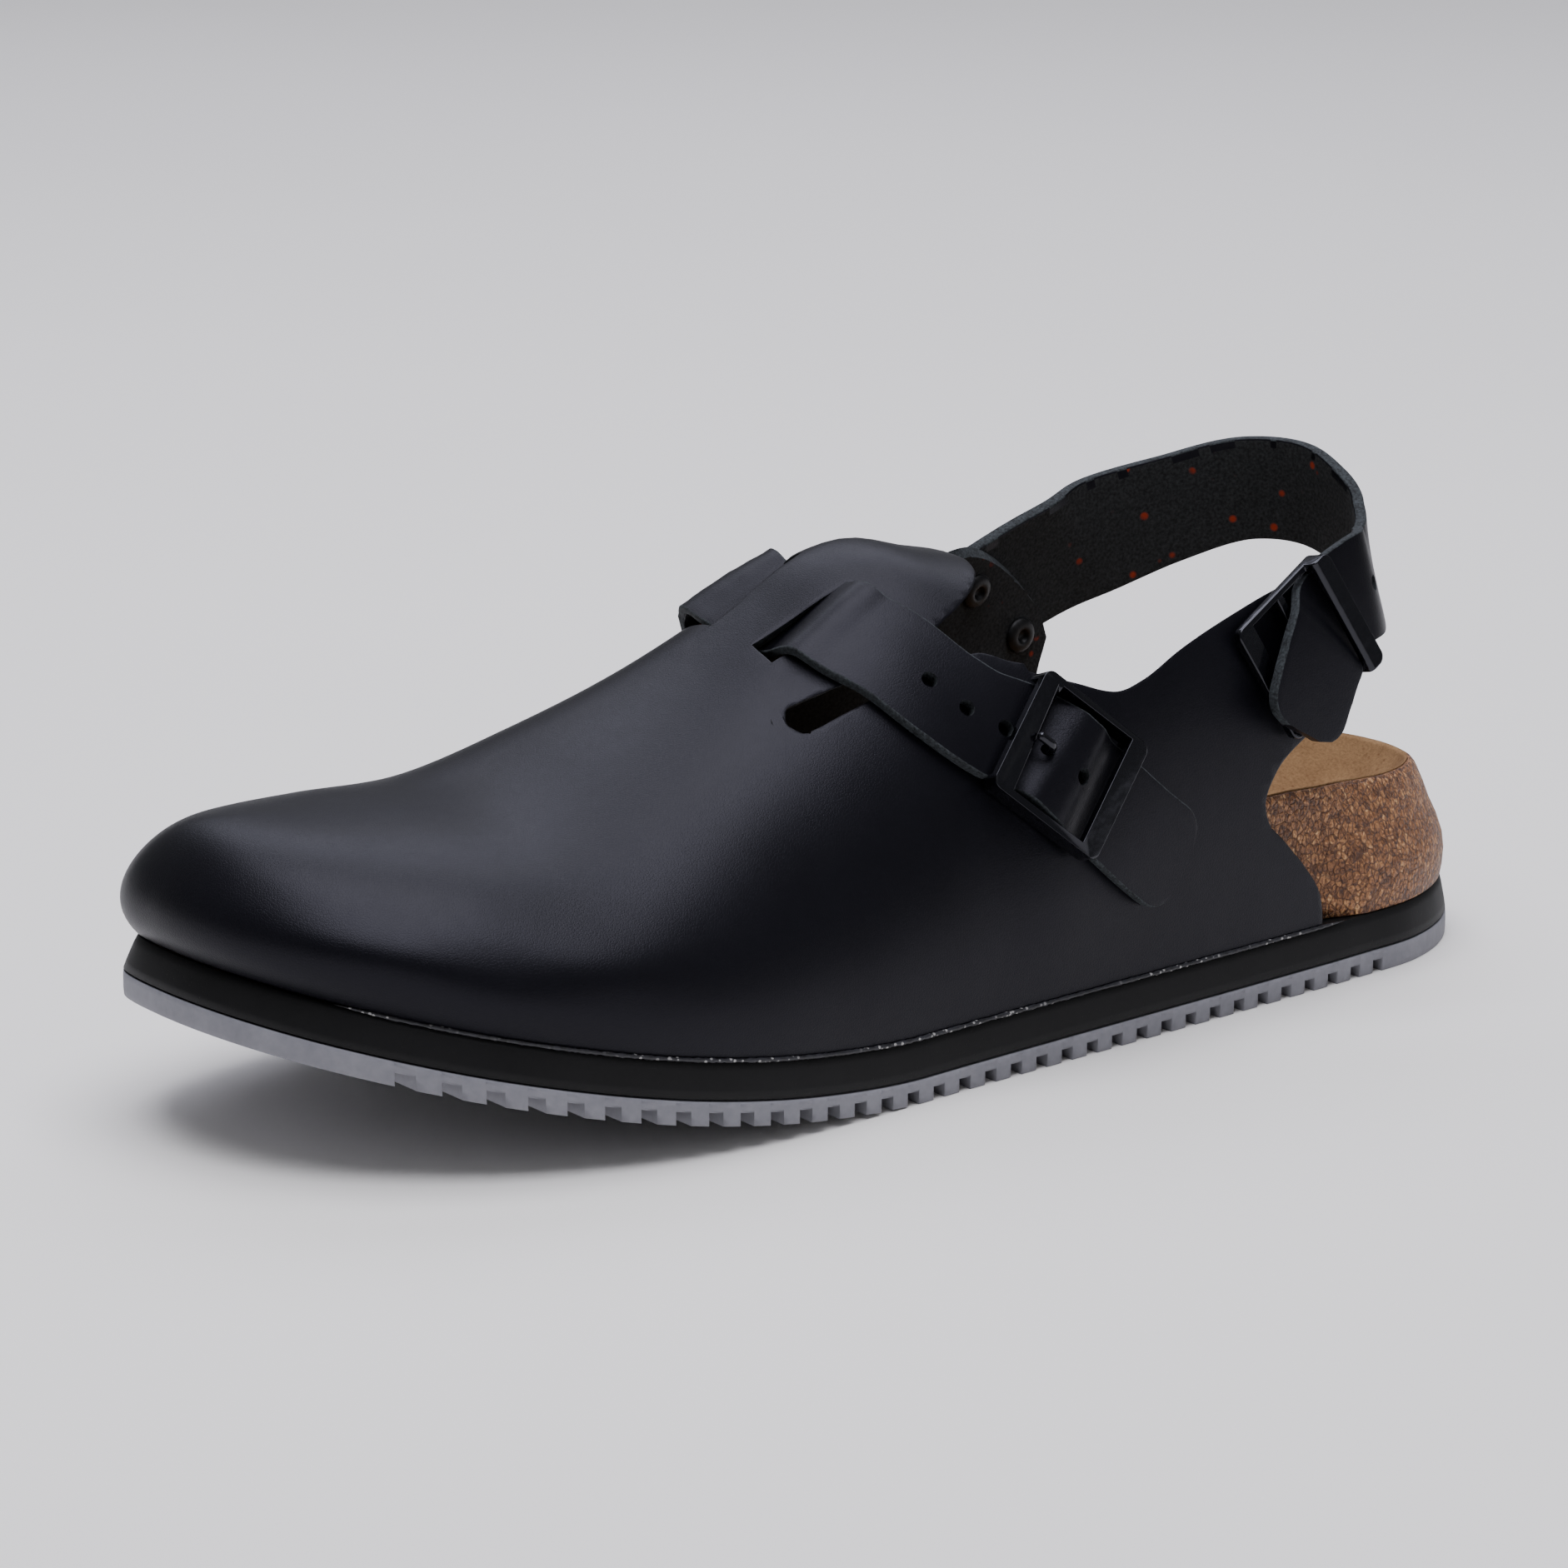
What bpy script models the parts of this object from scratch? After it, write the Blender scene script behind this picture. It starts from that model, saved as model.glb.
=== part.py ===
"""A left chef's clog: closed leather toe, cork footbed, instep strap and heel strap with buckles.

Frame: the origin is on the floor under the middle of the shoe, the toe points to -Y, +X is the
lateral side and +Z is up. Along the shoe, places are shares of LENGTH from the back of the heel.
"""

import math
from collections import namedtuple

import bmesh
import bpy
import numpy as np
from mathutils import Matrix, Vector
from mathutils.bvhtree import BVHTree

# Driving sizes, in metres
LENGTH = 0.2865
HEEL_WIDTH = 0.0682
WAIST_WIDTH = 0.0778
BALL_WIDTH = 0.1018
OUTSOLE = 0.0046
MIDSOLE = 0.0070
TOE_SPRING = 0.0245
TREAD_DEPTH = 0.0025
TREAD_PITCH = 0.00665
TREAD_GROOVE = 0.0030
INSTEP_HEIGHT = 0.0940
EAR_HEIGHT = 0.0850
HEEL_RIM = 0.0265
WALL = 0.0023
CLEARANCE = 0.0003
STRAP_WIDTH = 0.0208
STRAP_THICKNESS = 0.0023
LINING = 0.0010
BAR_WIDTH = 0.0046
BAR_THICKNESS = 0.0019
SIDE_BAR = 0.0014
BUCKLE_LENGTH = 0.0268
BUCKLE_PLAY = 0.0011
PRONG_RADIUS = 0.0009
HOLE_RADIUS = 0.0016
HOLE_PITCH = 0.0085
RIVET_HEAD = 0.0036
RIVET_SHANK = 0.0013

# Places that follow the driving sizes
SPRING_FROM = 0.56
SPRING_POWER = 1.57
TREAD_FROM = 0.126
TREAD_TO = 0.942
SOLE_TAPER = 0.0014
TOE_TAPER = 0.0014
TOE_TAPER_FROM = 0.75
CORK_BULGE = 0.0010
CORK_LEAN = 0.0060
CORK_DRAFT = 0.35 * WALL
COVER_FROM = 0.135
COVER_RUN = 0.035
BED_MIDDLE_FROM = 0.11
BED_MIDDLE_RUN = 0.78
BED_WIDTH = 0.965
BED_CURVE = 3.2
FAN_FROM = 0.66
FAN_TO = 0.93
UPPER_BACK = 0.105
RISE_SPREAD = 0.9

Edge = namedtuple("Edge", "along width lateral medial")
OUTLINE = [
    Edge(0.014, HEEL_WIDTH, 0.225, 0.225),
    Edge(0.046, HEEL_WIDTH, 0.361, 0.364),
    Edge(0.088, HEEL_WIDTH, 0.454, 0.456),
    Edge(0.148, HEEL_WIDTH, 0.500, 0.500),
    Edge(0.229, WAIST_WIDTH, 0.477, 0.445),
    Edge(0.324, WAIST_WIDTH, 0.518, 0.427),
    Edge(0.430, WAIST_WIDTH, 0.563, 0.437),
    Edge(0.529, BALL_WIDTH, 0.463, 0.381),
    Edge(0.617, BALL_WIDTH, 0.496, 0.437),
    Edge(0.689, BALL_WIDTH, 0.514, 0.478),
    Edge(0.756, BALL_WIDTH, 0.507, 0.499),
    Edge(0.819, BALL_WIDTH, 0.470, 0.497),
    Edge(0.878, BALL_WIDTH, 0.406, 0.475),
    Edge(0.925, BALL_WIDTH, 0.318, 0.437),
    Edge(0.965, BALL_WIDTH, 0.200, 0.374),
    Edge(0.991, BALL_WIDTH, 0.052, 0.278),
]
TOE_TIP = -0.118

# Height and shift of the last's ridge, and how square each side's arch is
Ridge = namedtuple("Ridge", "along height shift lateral medial bulge")
RIDGE = [
    Ridge(0.00, 1.200, 0.000, 2.4, 2.4, 0.000),
    Ridge(0.14, 1.170, 0.000, 2.5, 3.0, 0.000),
    Ridge(0.28, 1.030, -0.020, 2.75, 3.8, 0.000),
    Ridge(0.38, 0.925, -0.040, 2.95, 3.3, 0.003),
    Ridge(0.43, 0.952, -0.052, 2.40, 2.45, 0.008),
    Ridge(0.48, 0.985, -0.065, 2.0, 2.1, 0.010),
    Ridge(0.52, 0.955, -0.075, 1.95, 2.05, 0.015),
    Ridge(0.56, 0.885, -0.085, 2.0, 2.1, 0.015),
    Ridge(0.62, 0.787, -0.100, 2.1, 2.2, 0.015),
    Ridge(0.70, 0.690, -0.110, 2.2, 2.3, 0.020),
    Ridge(0.78, 0.612, -0.120, 2.4, 2.5, 0.025),
    Ridge(0.85, 0.610, -0.120, 2.6, 2.7, 0.030),
    Ridge(0.93, 0.618, -0.120, 2.8, 2.8, 0.032),
]

# The slits beside the tongue: shares of the half width at the quarter's and the tongue's edge
Throat = namedtuple("Throat", "along quarter tongue")
THROAT = [
    Throat(0.602, 0.545, 0.520),
    Throat(0.597, 0.582, 0.492),
    Throat(0.587, 0.592, 0.498),
    Throat(0.572, 0.588, 0.530),
    Throat(0.540, 0.610, 0.552),
    Throat(0.500, 0.622, 0.550),
    Throat(0.474, 0.626, 0.522),
    Throat(0.456, 0.640, 0.490),
    Throat(0.437, 0.690, 0.430),
    Throat(0.420, 0.720, 0.330),
    Throat(0.408, 0.720, 0.180),
]
THROAT_BACK = [(0.38, 0.52), (0.28, 0.54), (0.18, 0.62), (0.02, 1.10)]
SLOT_REAR = 0.499
SLOT_FRONT = 0.581

# Side outlines of the quarters: shares of LENGTH and of EAR_HEIGHT
Outline = namedtuple("Outline", "along height")
LATERAL_COLLAR = [
    Outline(0.428, 0.847), Outline(0.400, 0.816), Outline(0.362, 0.782), Outline(0.344, 0.795),
    Outline(0.307, 0.842), Outline(0.260, 0.891), Outline(0.204, 0.938), Outline(0.172, 0.953),
    Outline(0.152, 0.890), Outline(0.140, 0.780), Outline(0.139, 0.664), Outline(0.160, 0.580),
    Outline(0.204, 0.561), Outline(0.232, 0.525), Outline(0.241, 0.461), Outline(0.239, 0.425),
    Outline(0.223, 0.366), Outline(0.204, 0.299), Outline(0.188, 0.226), Outline(0.183, 0.100),
]
MEDIAL_COLLAR = [
    Outline(0.428, 0.890), Outline(0.402, 0.905), Outline(0.378, 0.950), Outline(0.354, 0.978),
    Outline(0.332, 0.972), Outline(0.310, 0.943), Outline(0.290, 0.900), Outline(0.268, 0.835),
    Outline(0.252, 0.770), Outline(0.246, 0.710), Outline(0.251, 0.640), Outline(0.258, 0.540),
    Outline(0.255, 0.465),
    Outline(0.243, 0.390), Outline(0.220, 0.299), Outline(0.203, 0.226), Outline(0.198, 0.100),
]

# The footbed above the midsole, in shares of HEEL_RIM
Bed = namedtuple("Bed", "along lateral_rim medial_rim floor")
BED = [
    Bed(0.00, 0.865, 0.865, 0.46),
    Bed(0.12, 0.940, 0.950, 0.40),
    Bed(0.22, 1.000, 1.040, 0.41),
    Bed(0.32, 0.860, 1.000, 0.44),
    Bed(0.42, 0.660, 0.860, 0.42),
    Bed(0.52, 0.480, 0.600, 0.34),
    Bed(0.62, 0.370, 0.420, 0.27),
    Bed(0.75, 0.310, 0.330, 0.21),
    Bed(0.88, 0.300, 0.310, 0.20),
    Bed(1.00, 0.330, 0.330, 0.24),
]

# The instep strap's middle line: x in shares of BALL_WIDTH, height of INSTEP_HEIGHT. It lies on
# the quarters at lift 0 and passes under the tongue at lift -1.
StrapRow = namedtuple("StrapRow", "x along height lift")
INSTEP_STRAP = [
    StrapRow(-0.400, 0.430, 0.380, 0.05),
    StrapRow(-0.370, 0.470, 0.560, 0.05),
    StrapRow(-0.320, 0.505, 0.740, 0.25),
    StrapRow(-0.272, 0.523, 0.850, 0.80),
    StrapRow(-0.225, 0.533, 0.880, 0.45),
    StrapRow(-0.180, 0.538, 0.890, -0.40),
    StrapRow(-0.140, 0.541, 0.900, -1.00),
    StrapRow(-0.080, 0.544, 0.900, -1.00),
    StrapRow(-0.020, 0.545, 0.880, -1.00),
    StrapRow(0.030, 0.544, 0.880, -1.00),
    StrapRow(0.068, 0.542, 0.872, -0.95),
    StrapRow(0.110, 0.539, 0.860, -0.40),
    StrapRow(0.152, 0.533, 0.842, 0.03),
    StrapRow(0.195, 0.521, 0.810, 0.00),
    StrapRow(0.278, 0.499, 0.740, 0.00),
    StrapRow(0.320, 0.478, 0.690, 0.00),
    StrapRow(0.345, 0.447, 0.640, 0.00),
    StrapRow(0.370, 0.420, 0.560, 0.00),
    StrapRow(0.385, 0.392, 0.490, 0.00),
    StrapRow(0.392, 0.365, 0.420, 0.00),
    StrapRow(0.388, 0.330, 0.340, 0.00),
]

# The heel strap's middle line: x in shares of HEEL_WIDTH, height of EAR_HEIGHT. Hold is how
# far it lies on the quarter's skin.
HeelRow = namedtuple("HeelRow", "x along height lean hold flare")
HEEL_STRAP = [
    HeelRow(-0.450, 0.335, 0.785, 8, 1, 1.24),
    HeelRow(-0.450, 0.296, 0.832, 8, 1, 1.24),
    HeelRow(-0.446, 0.250, 0.882, 6, 1, 1.24),
    HeelRow(-0.430, 0.200, 0.932, 4, 0, 1.18),
    HeelRow(-0.354, 0.156, 0.982, 4, 0, 1.06),
    HeelRow(-0.205, 0.112, 1.035, 4, 0, 1.00),
    HeelRow(-0.060, 0.097, 1.035, 6, 0, 1.00),
    HeelRow(0.080, 0.097, 1.005, 10, 0, 1.00),
    HeelRow(0.205, 0.102, 0.955, 14, 0, 1.00),
    HeelRow(0.305, 0.115, 0.910, 14, 0, 1.00),
    HeelRow(0.395, 0.148, 0.890, 10, 1, 1.00),
    HeelRow(0.425, 0.170, 0.862, 10, 1, 1.00),
    HeelRow(0.440, 0.190, 0.800, 10, 1, 1.00),
    HeelRow(0.455, 0.206, 0.720, 10, 1, 1.00),
    HeelRow(0.460, 0.218, 0.650, 10, 1, 1.00),
]

# Where the buckles, the strap holes and the rivets sit, on the skin
Spot = namedtuple("Spot", "x along height turn")
INSTEP_BUCKLE = Spot(0.368, 0.427, 0.585, -3)
HEEL_BUCKLE = Spot(0.438, 0.202, 0.795, 29)
RIVETS = [Spot(-0.400, 0.321, 0.862, 0), Spot(-0.440, 0.274, 0.727, 0)]
HOLES_BEFORE = 4
HOLES_AFTER = 1
HEEL_HOLES = 3
PRONG_BACK = 0.0053
PRONG_REACH = 0.26
END_CORNER = 0.55


def smoothstep(value):
    value = min(max(value, 0.0), 1.0)
    return value * value * (3 - 2 * value)


def hermite(xs, ys, slopes, x):
    """Cubic through the points xs, ys with the given slopes, at x."""
    x = min(max(x, xs[0]), xs[-1])
    i = min(max(int(np.searchsorted(xs, x, "right")) - 1, 0), len(xs) - 2)
    step = xs[i + 1] - xs[i]
    s = (x - xs[i]) / step
    start = (2 * s**3 - 3 * s**2 + 1) * ys[i] + (s**3 - 2 * s**2 + s) * step * slopes[i]
    end = (3 * s**2 - 2 * s**3) * ys[i + 1] + (s**3 - s**2) * step * slopes[i + 1]
    return start + end


def column(rows, name, x, key="along"):
    """One column of a table, read smoothly at x."""
    xs = np.array([getattr(row, key) for row in rows])
    ys = np.array([getattr(row, name) for row in rows], float)
    return float(hermite(xs, ys, np.gradient(ys, xs), x))


def path_travel(points):
    """Distances along a row of points; values after a point's third one don't count."""
    steps = np.linalg.norm(np.diff(np.array(points, float)[:, :3], axis=0), axis=1)
    return np.concatenate([[0], np.cumsum(steps)])


def curve(points, count):
    """An open smooth curve through points and any values they carry, read at even steps."""
    points = np.array(points, float)
    chord = path_travel(points)
    slopes = np.gradient(points, chord, axis=0)
    steps = np.linspace(0, chord[-1], count)
    return np.array([hermite(chord, points, slopes, step) for step in steps])


def sole_outline(count=1600):
    """The closed outline of the sole as (x, distance from the heel)."""
    lateral = [(row.width * row.lateral, LENGTH * row.along) for row in OUTLINE]
    medial = [(-row.width * row.medial, LENGTH * row.along) for row in OUTLINE]
    points = [(0.0, 0.0)] + lateral + [(BALL_WIDTH * TOE_TIP, LENGTH)] + medial[::-1]
    wrapped = points[-4:] + points + points[:5]
    loop = curve(wrapped, count)
    gap = np.linalg.norm(loop - points[0], axis=1)
    middle = len(loop) // 2
    return loop[int(np.argmin(gap[:middle])):middle + int(np.argmin(gap[middle:]))]


LOOP = sole_outline()
SIDES = {}


def side_outline(side, inset):
    """One side of the outline moved in by inset, from heel to toe, with its outward normals."""
    key = (side, round(inset, 5))
    if key not in SIDES:
        along = np.roll(LOOP, -1, 0) - np.roll(LOOP, 1, 0)
        along /= np.linalg.norm(along, axis=1)[:, None]
        outward = np.stack([along[:, 1], -along[:, 0]], -1)
        points = LOOP - outward * inset
        heel, toe = int(np.argmin(points[:, 1])), int(np.argmax(points[:, 1]))
        order = np.arange(heel, heel + len(points)) % len(points)
        turn = int(np.where(order == toe)[0][0])
        chosen = order[:turn + 1] if side > 0 else np.append(order[turn:], heel)[::-1]
        SIDES[key] = (points[chosen], outward[chosen])
    return SIDES[key]


def edge(side, share, inset):
    """Point (x, distance) and outward normal on the outline moved in by inset."""
    points, normals = side_outline(side, inset)
    distance = points[0, 1] + (points[-1, 1] - points[0, 1]) * share
    point = np.array([np.interp(distance, points[:, 1], points[:, 0]), distance])
    normal = np.array([np.interp(distance, points[:, 1], normals[:, k]) for k in (0, 1)])
    return point, normal / np.linalg.norm(normal)


def spring(distance):
    """How far the toe spring lifts the sole at that distance from the heel."""
    run = max((distance / LENGTH - SPRING_FROM) / (1 - SPRING_FROM), 0.0)
    return TOE_SPRING * run**SPRING_POWER


def sole_top(distance):
    return OUTSOLE + CLEARANCE + MIDSOLE + spring(distance)


def taper(share):
    """How far the top of the midsole stands in from the outline."""
    return SOLE_TAPER + TOE_TAPER * smoothstep((share - TOE_TAPER_FROM) / (1 - TOE_TAPER_FROM))


def placed(x, distance, z):
    """A point of the shoe's own frame."""
    return Vector((x, LENGTH / 2 - distance, z))


def ridge_share(share):
    """Where on the ridge the section that stands on the sole at share ends; it fans at the toe."""
    if share <= FAN_FROM:
        return share
    rest = 1 - FAN_FROM
    run = (share - FAN_FROM) / rest
    return FAN_FROM + rest * run - (1 - FAN_TO) * run * run


def skin(side, share, rise):
    """A point on the outside of the upper; rise is 0 at the sole and 1 at the ridge."""
    foot, outward = edge(side, share, taper(share))
    top = ridge_share(share)
    ridge = np.array([column(RIDGE, "shift", top) * BALL_WIDTH, top * LENGTH])
    power = column(RIDGE, "lateral" if side > 0 else "medial", top)
    bulge = column(RIDGE, "bulge", top) * BALL_WIDTH * 6.75 * rise * (1 - rise) ** 2
    reach = (1 - min(rise, 1.0) ** power) ** (1 / power)
    x, distance = ridge + (foot - ridge) * reach + outward * bulge
    base = sole_top(foot[1]) + CLEARANCE
    crown = column(RIDGE, "height", top) * INSTEP_HEIGHT
    return placed(x, distance, base + (crown - base) * rise)


def skin_rises(steps):
    """Rises whose points lie about evenly along a section's arch."""
    return [math.sin(math.pi / 2 * k / steps) ** RISE_SPREAD for k in range(steps + 1)]


def skin_grid(first, rows, steps):
    """Sections from medial foot over the ridge to lateral foot, at shares that close at the toe."""
    shares = [first + (1 - first) * math.sin(math.pi / 2 * k / rows) for k in range(rows + 1)]
    rises = skin_rises(steps)
    sections = []
    for share in shares:
        medial = [skin(-1, share, rise) for rise in rises]
        lateral = [skin(1, share, rise) for rise in rises[-2::-1]]
        sections.append(medial + lateral)
    return sections


def material(name, colour, roughness, metallic=0.0):
    made = bpy.data.materials.new(name)
    made.use_nodes = True
    shader = made.node_tree.nodes["Principled BSDF"]
    shader.inputs["Base Color"].default_value = (*colour, 1)
    shader.inputs["Roughness"].default_value = roughness
    shader.inputs["Metallic"].default_value = metallic
    made.diffuse_color = (*colour, 1)
    return made


def add_object(name, vertices, faces, finish=None, cutter=False):
    """A mesh object with its faces turned outwards."""
    mesh = bpy.data.meshes.new(name)
    mesh.from_pydata([tuple(v) for v in vertices], [], faces)
    shape = bmesh.new()
    shape.from_mesh(mesh)
    bmesh.ops.remove_doubles(shape, verts=shape.verts, dist=1e-6)
    bmesh.ops.triangulate(shape, faces=shape.faces, quad_method="SHORT_EDGE")
    bmesh.ops.recalc_face_normals(shape, faces=shape.faces)
    shape.to_mesh(mesh)
    shape.free()
    made = bpy.data.objects.new(name, mesh)
    bpy.context.scene.collection.objects.link(made)
    if finish:
        mesh.materials.append(finish)
        mesh.shade_smooth()
        mesh.set_sharp_from_angle(angle=math.radians(40))
    if cutter:
        made.hide_render = True
        made.display_type = "WIRE"
    return made


def cut(target, tool, operation="DIFFERENCE"):
    """Apply a Boolean of the tool to the target, and remove the tool."""
    change = target.modifiers.new("cut", "BOOLEAN")
    change.object = tool
    change.operation = operation
    bpy.context.view_layer.update()
    evaluated = target.evaluated_get(bpy.context.evaluated_depsgraph_get())
    mesh = bpy.data.meshes.new_from_object(evaluated)
    target.modifiers.clear()
    old = target.data
    target.data = mesh
    bpy.data.meshes.remove(old)
    bpy.data.objects.remove(tool)


def prism(name, outline, low, high, place):
    """A closed prism over an outline; place(a, b, level) gives each corner."""
    count = len(outline)
    vertices = [place(a, b, low) for a, b in outline] + [place(a, b, high) for a, b in outline]
    sides = [(k, (k + 1) % count, count + (k + 1) % count, count + k) for k in range(count)]
    faces = sides + [tuple(range(count)), tuple(range(count, 2 * count))]
    return add_object(name, vertices, faces, cutter=True)


def loft(sections, closed_ends=True):
    """Vertices and faces of a skin through closed sections of equal length."""
    count = len(sections[0])
    vertices = [point for section in sections for point in section]
    faces = []
    for k in range(len(sections) - 1):
        for j in range(count):
            nxt = (j + 1) % count
            faces.append((k * count + j, k * count + nxt, (k + 1) * count + nxt, (k + 1) * count + j))
    if closed_ends:
        last = (len(sections) - 1) * count
        faces.append(tuple(range(count)))
        faces.append(tuple(range(last, last + count)))
    return vertices, faces


def end_shares(count):
    """Shares of the length, closer together at the heel and the toe."""
    return [(1 - math.cos(math.pi * k / count)) / 2 for k in range(count + 1)]


def strip_solid(name, lines, finish):
    """A solid across the shoe: each line is its (medial, lateral) pairs from bottom to top."""
    sections = [[pair[0] for pair in line] + [pair[1] for pair in reversed(line)] for line in lines]
    vertices, faces = loft(sections)
    return add_object(name, vertices, faces, finish)


def midsole(finish):
    lines = []
    for share in end_shares(42):
        line = []
        bottom = OUTSOLE + CLEARANCE
        for inset, level in ((0.0, bottom), (taper(share), bottom + MIDSOLE)):
            ends = [edge(side, share, inset)[0] for side in (-1, 1)]
            line.append([placed(x, d, level + spring(d)) for x, d in ends])
        lines.append(line)
    return strip_solid("midsole", lines, finish)


def tread_levels():
    """Distances along the outsole with the height of its underside, stepping at each groove."""
    grooves = int((TREAD_TO - TREAD_FROM) * LENGTH / TREAD_PITCH)
    plain = [share for share in end_shares(30) if not TREAD_FROM <= share <= TREAD_TO]
    levels = [(share * LENGTH, 0.0) for share in plain]
    for k in range(grooves):
        start = TREAD_FROM * LENGTH + k * TREAD_PITCH
        levels += [(start, 0.0), (start, TREAD_DEPTH)]
        levels += [(start + TREAD_GROOVE, TREAD_DEPTH), (start + TREAD_GROOVE, 0.0)]
    return sorted(levels, key=lambda level: level[0])


def outsole(finish):
    lines = []
    for distance, level in tread_levels():
        share = distance / LENGTH
        ends = [edge(side, share, 0.0)[0] for side in (-1, 1)]
        low = [placed(x, d, level + spring(d)) for x, d in ends]
        high = [placed(x, d, OUTSOLE + spring(d)) for x, d in ends]
        lines.append([low, high])
    return strip_solid("outsole", lines, finish)


def bed_rim(side, share):
    return column(BED, "lateral_rim" if side > 0 else "medial_rim", share) * HEEL_RIM


def cork_side(side, share, height):
    """A point on the cork's side: inside the leather, and bare and bulging at the heel."""
    foot, outward = edge(side, share, taper(share))
    base = sole_top(foot[1]) + CLEARANCE
    crown = column(RIDGE, "height", ridge_share(share)) * INSTEP_HEIGHT
    inside = skin(side, share, height / (crown - base))
    covered = smoothstep((share - COVER_FROM) / COVER_RUN)
    level = height / bed_rim(side, share)
    bare_inset = CORK_LEAN * level**2 - CORK_BULGE * math.sin(math.pi * min(level * 1.6, 1))
    covered_inset = WALL + 3 * CLEARANCE + CORK_DRAFT * level
    inset = bare_inset + (covered_inset - bare_inset) * covered
    start = placed(*foot, 0).xy.lerp(inside.xy, covered)
    push = Vector((outward[0], -outward[1])) * inset
    return Vector((*(start - push), base + height))


def bed_point(side, share, reach, lift=0.0):
    """A point on the footbed's top; reach is 1 at the rim's inner edge and 0 on the middle line."""
    rim = cork_side(side, share, bed_rim(side, share))
    middle_share = BED_MIDDLE_FROM + BED_MIDDLE_RUN * share
    middle_x = column(RIDGE, "shift", middle_share) * BALL_WIDTH
    middle = placed(middle_x, middle_share * LENGTH, 0)
    flat = middle.xy.lerp(rim.xy, BED_WIDTH * reach)
    distance = LENGTH / 2 - flat[1]
    here = distance / LENGTH
    floor = sole_top(distance) + column(BED, "floor", here) * HEEL_RIM
    return Vector((*flat, floor + (rim.z - floor) * reach**BED_CURVE + lift))


def closed_rings(name, rings, low_middle, high_middle, finish):
    """A solid through closed rings, with a middle line that closes its bottom and its top.

    Each ring runs over the lateral shares and back over the medial ones.
    """
    count = len(rings[0])
    half = count // 2
    vertices, faces = loft(rings, closed_ends=False)
    for ring, middle in ((0, low_middle), (len(rings) - 1, high_middle)):
        first = len(vertices)
        vertices += middle
        for k in range(count):
            nxt = (k + 1) % count
            near = min(k, count - k)
            far = min(nxt, count - nxt)
            faces.append((ring * count + k, ring * count + nxt, first + far, first + near))
    return add_object(name, vertices, faces, finish)


BED_SHARES = end_shares(24)
BED_REACHES = (1.0, 0.90, 0.76, 0.56, 0.30)


def ring_of(point):
    """A ring of point(side, share) over the lateral side and back over the medial side."""
    lateral = [point(1, share) for share in BED_SHARES]
    medial = [point(-1, share) for share in BED_SHARES[-2:0:-1]]
    return lateral + medial


def footbed(finish):
    rings = [ring_of(lambda side, share: cork_side(side, share, 0.0))]
    for level in (0.28, 0.62, 0.88):
        rings.append(ring_of(lambda side, share: cork_side(side, share, level * bed_rim(side, share))))
    rings.append(ring_of(lambda side, share: cork_side(side, share, bed_rim(side, share))))
    for reach in BED_REACHES:
        rings.append(ring_of(lambda side, share: bed_point(side, share, reach)))
    low = []
    for share in BED_SHARES:
        pair = [cork_side(side, share, 0.0) for side in (-1, 1)]
        low.append((pair[0] + pair[1]) / 2)
    high = [bed_point(1, share, 0.0) for share in BED_SHARES]
    return closed_rings("footbed", rings, low, high, finish)


def insole(finish):
    """The suede sock that lies on the cork."""
    reaches = BED_REACHES[1:]
    rings = []
    for reach in reversed(reaches):
        rings.append(ring_of(lambda side, share: bed_point(side, share, reach, CLEARANCE)))
    for reach in reaches:
        rings.append(ring_of(lambda side, share: bed_point(side, share, reach, CLEARANCE + LINING)))
    low = [bed_point(1, share, 0.0, CLEARANCE) for share in BED_SHARES]
    high = [bed_point(1, share, 0.0, CLEARANCE + LINING) for share in BED_SHARES]
    return closed_rings("insole", rings, low, high, finish)


def section_normals(sections):
    """Outward normals of a grid of skin points."""
    grid = np.array([[tuple(point) for point in section] for section in sections])
    along = np.gradient(grid, axis=0)
    across = np.gradient(grid, axis=1)
    across[-1] = across[-2]
    normals = np.cross(along, across)
    normals /= np.linalg.norm(normals, axis=2)[:, :, None]
    middle = grid.shape[1] // 2
    return normals * np.sign(normals[2, middle, 2])


def upper_shell(finish):
    """The leather last shape with its wall, open underneath and behind."""
    sections = skin_grid(UPPER_BACK, 26, 13)
    normals = section_normals(sections)
    outer = [[tuple(p) for p in section] for section in sections]
    inner = []
    for section, directions in zip(sections, normals):
        moved = [point - Vector(normal) * WALL for point, normal in zip(section, directions)]
        for k in (0, -1):
            flat = Vector((directions[k][0], directions[k][1], 0)).normalized()
            moved[k] = section[k] - flat * WALL
        inner.append([tuple(p) for p in moved])
    last = len(sections) - 1
    width = len(sections[0])
    tip = [Vector(inner[last][k]) for k in range(width)]
    for k in range(width):
        mirror = width - 1 - k
        inner[last][k] = tuple((tip[k] + tip[mirror]) / 2)
    rows = [outer[k] + inner[k][::-1] for k in range(len(sections))]
    vertices, faces = loft(rows, closed_ends=False)
    faces.append(tuple(range(2 * width)))
    return add_object("upper", vertices, faces, finish)


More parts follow.
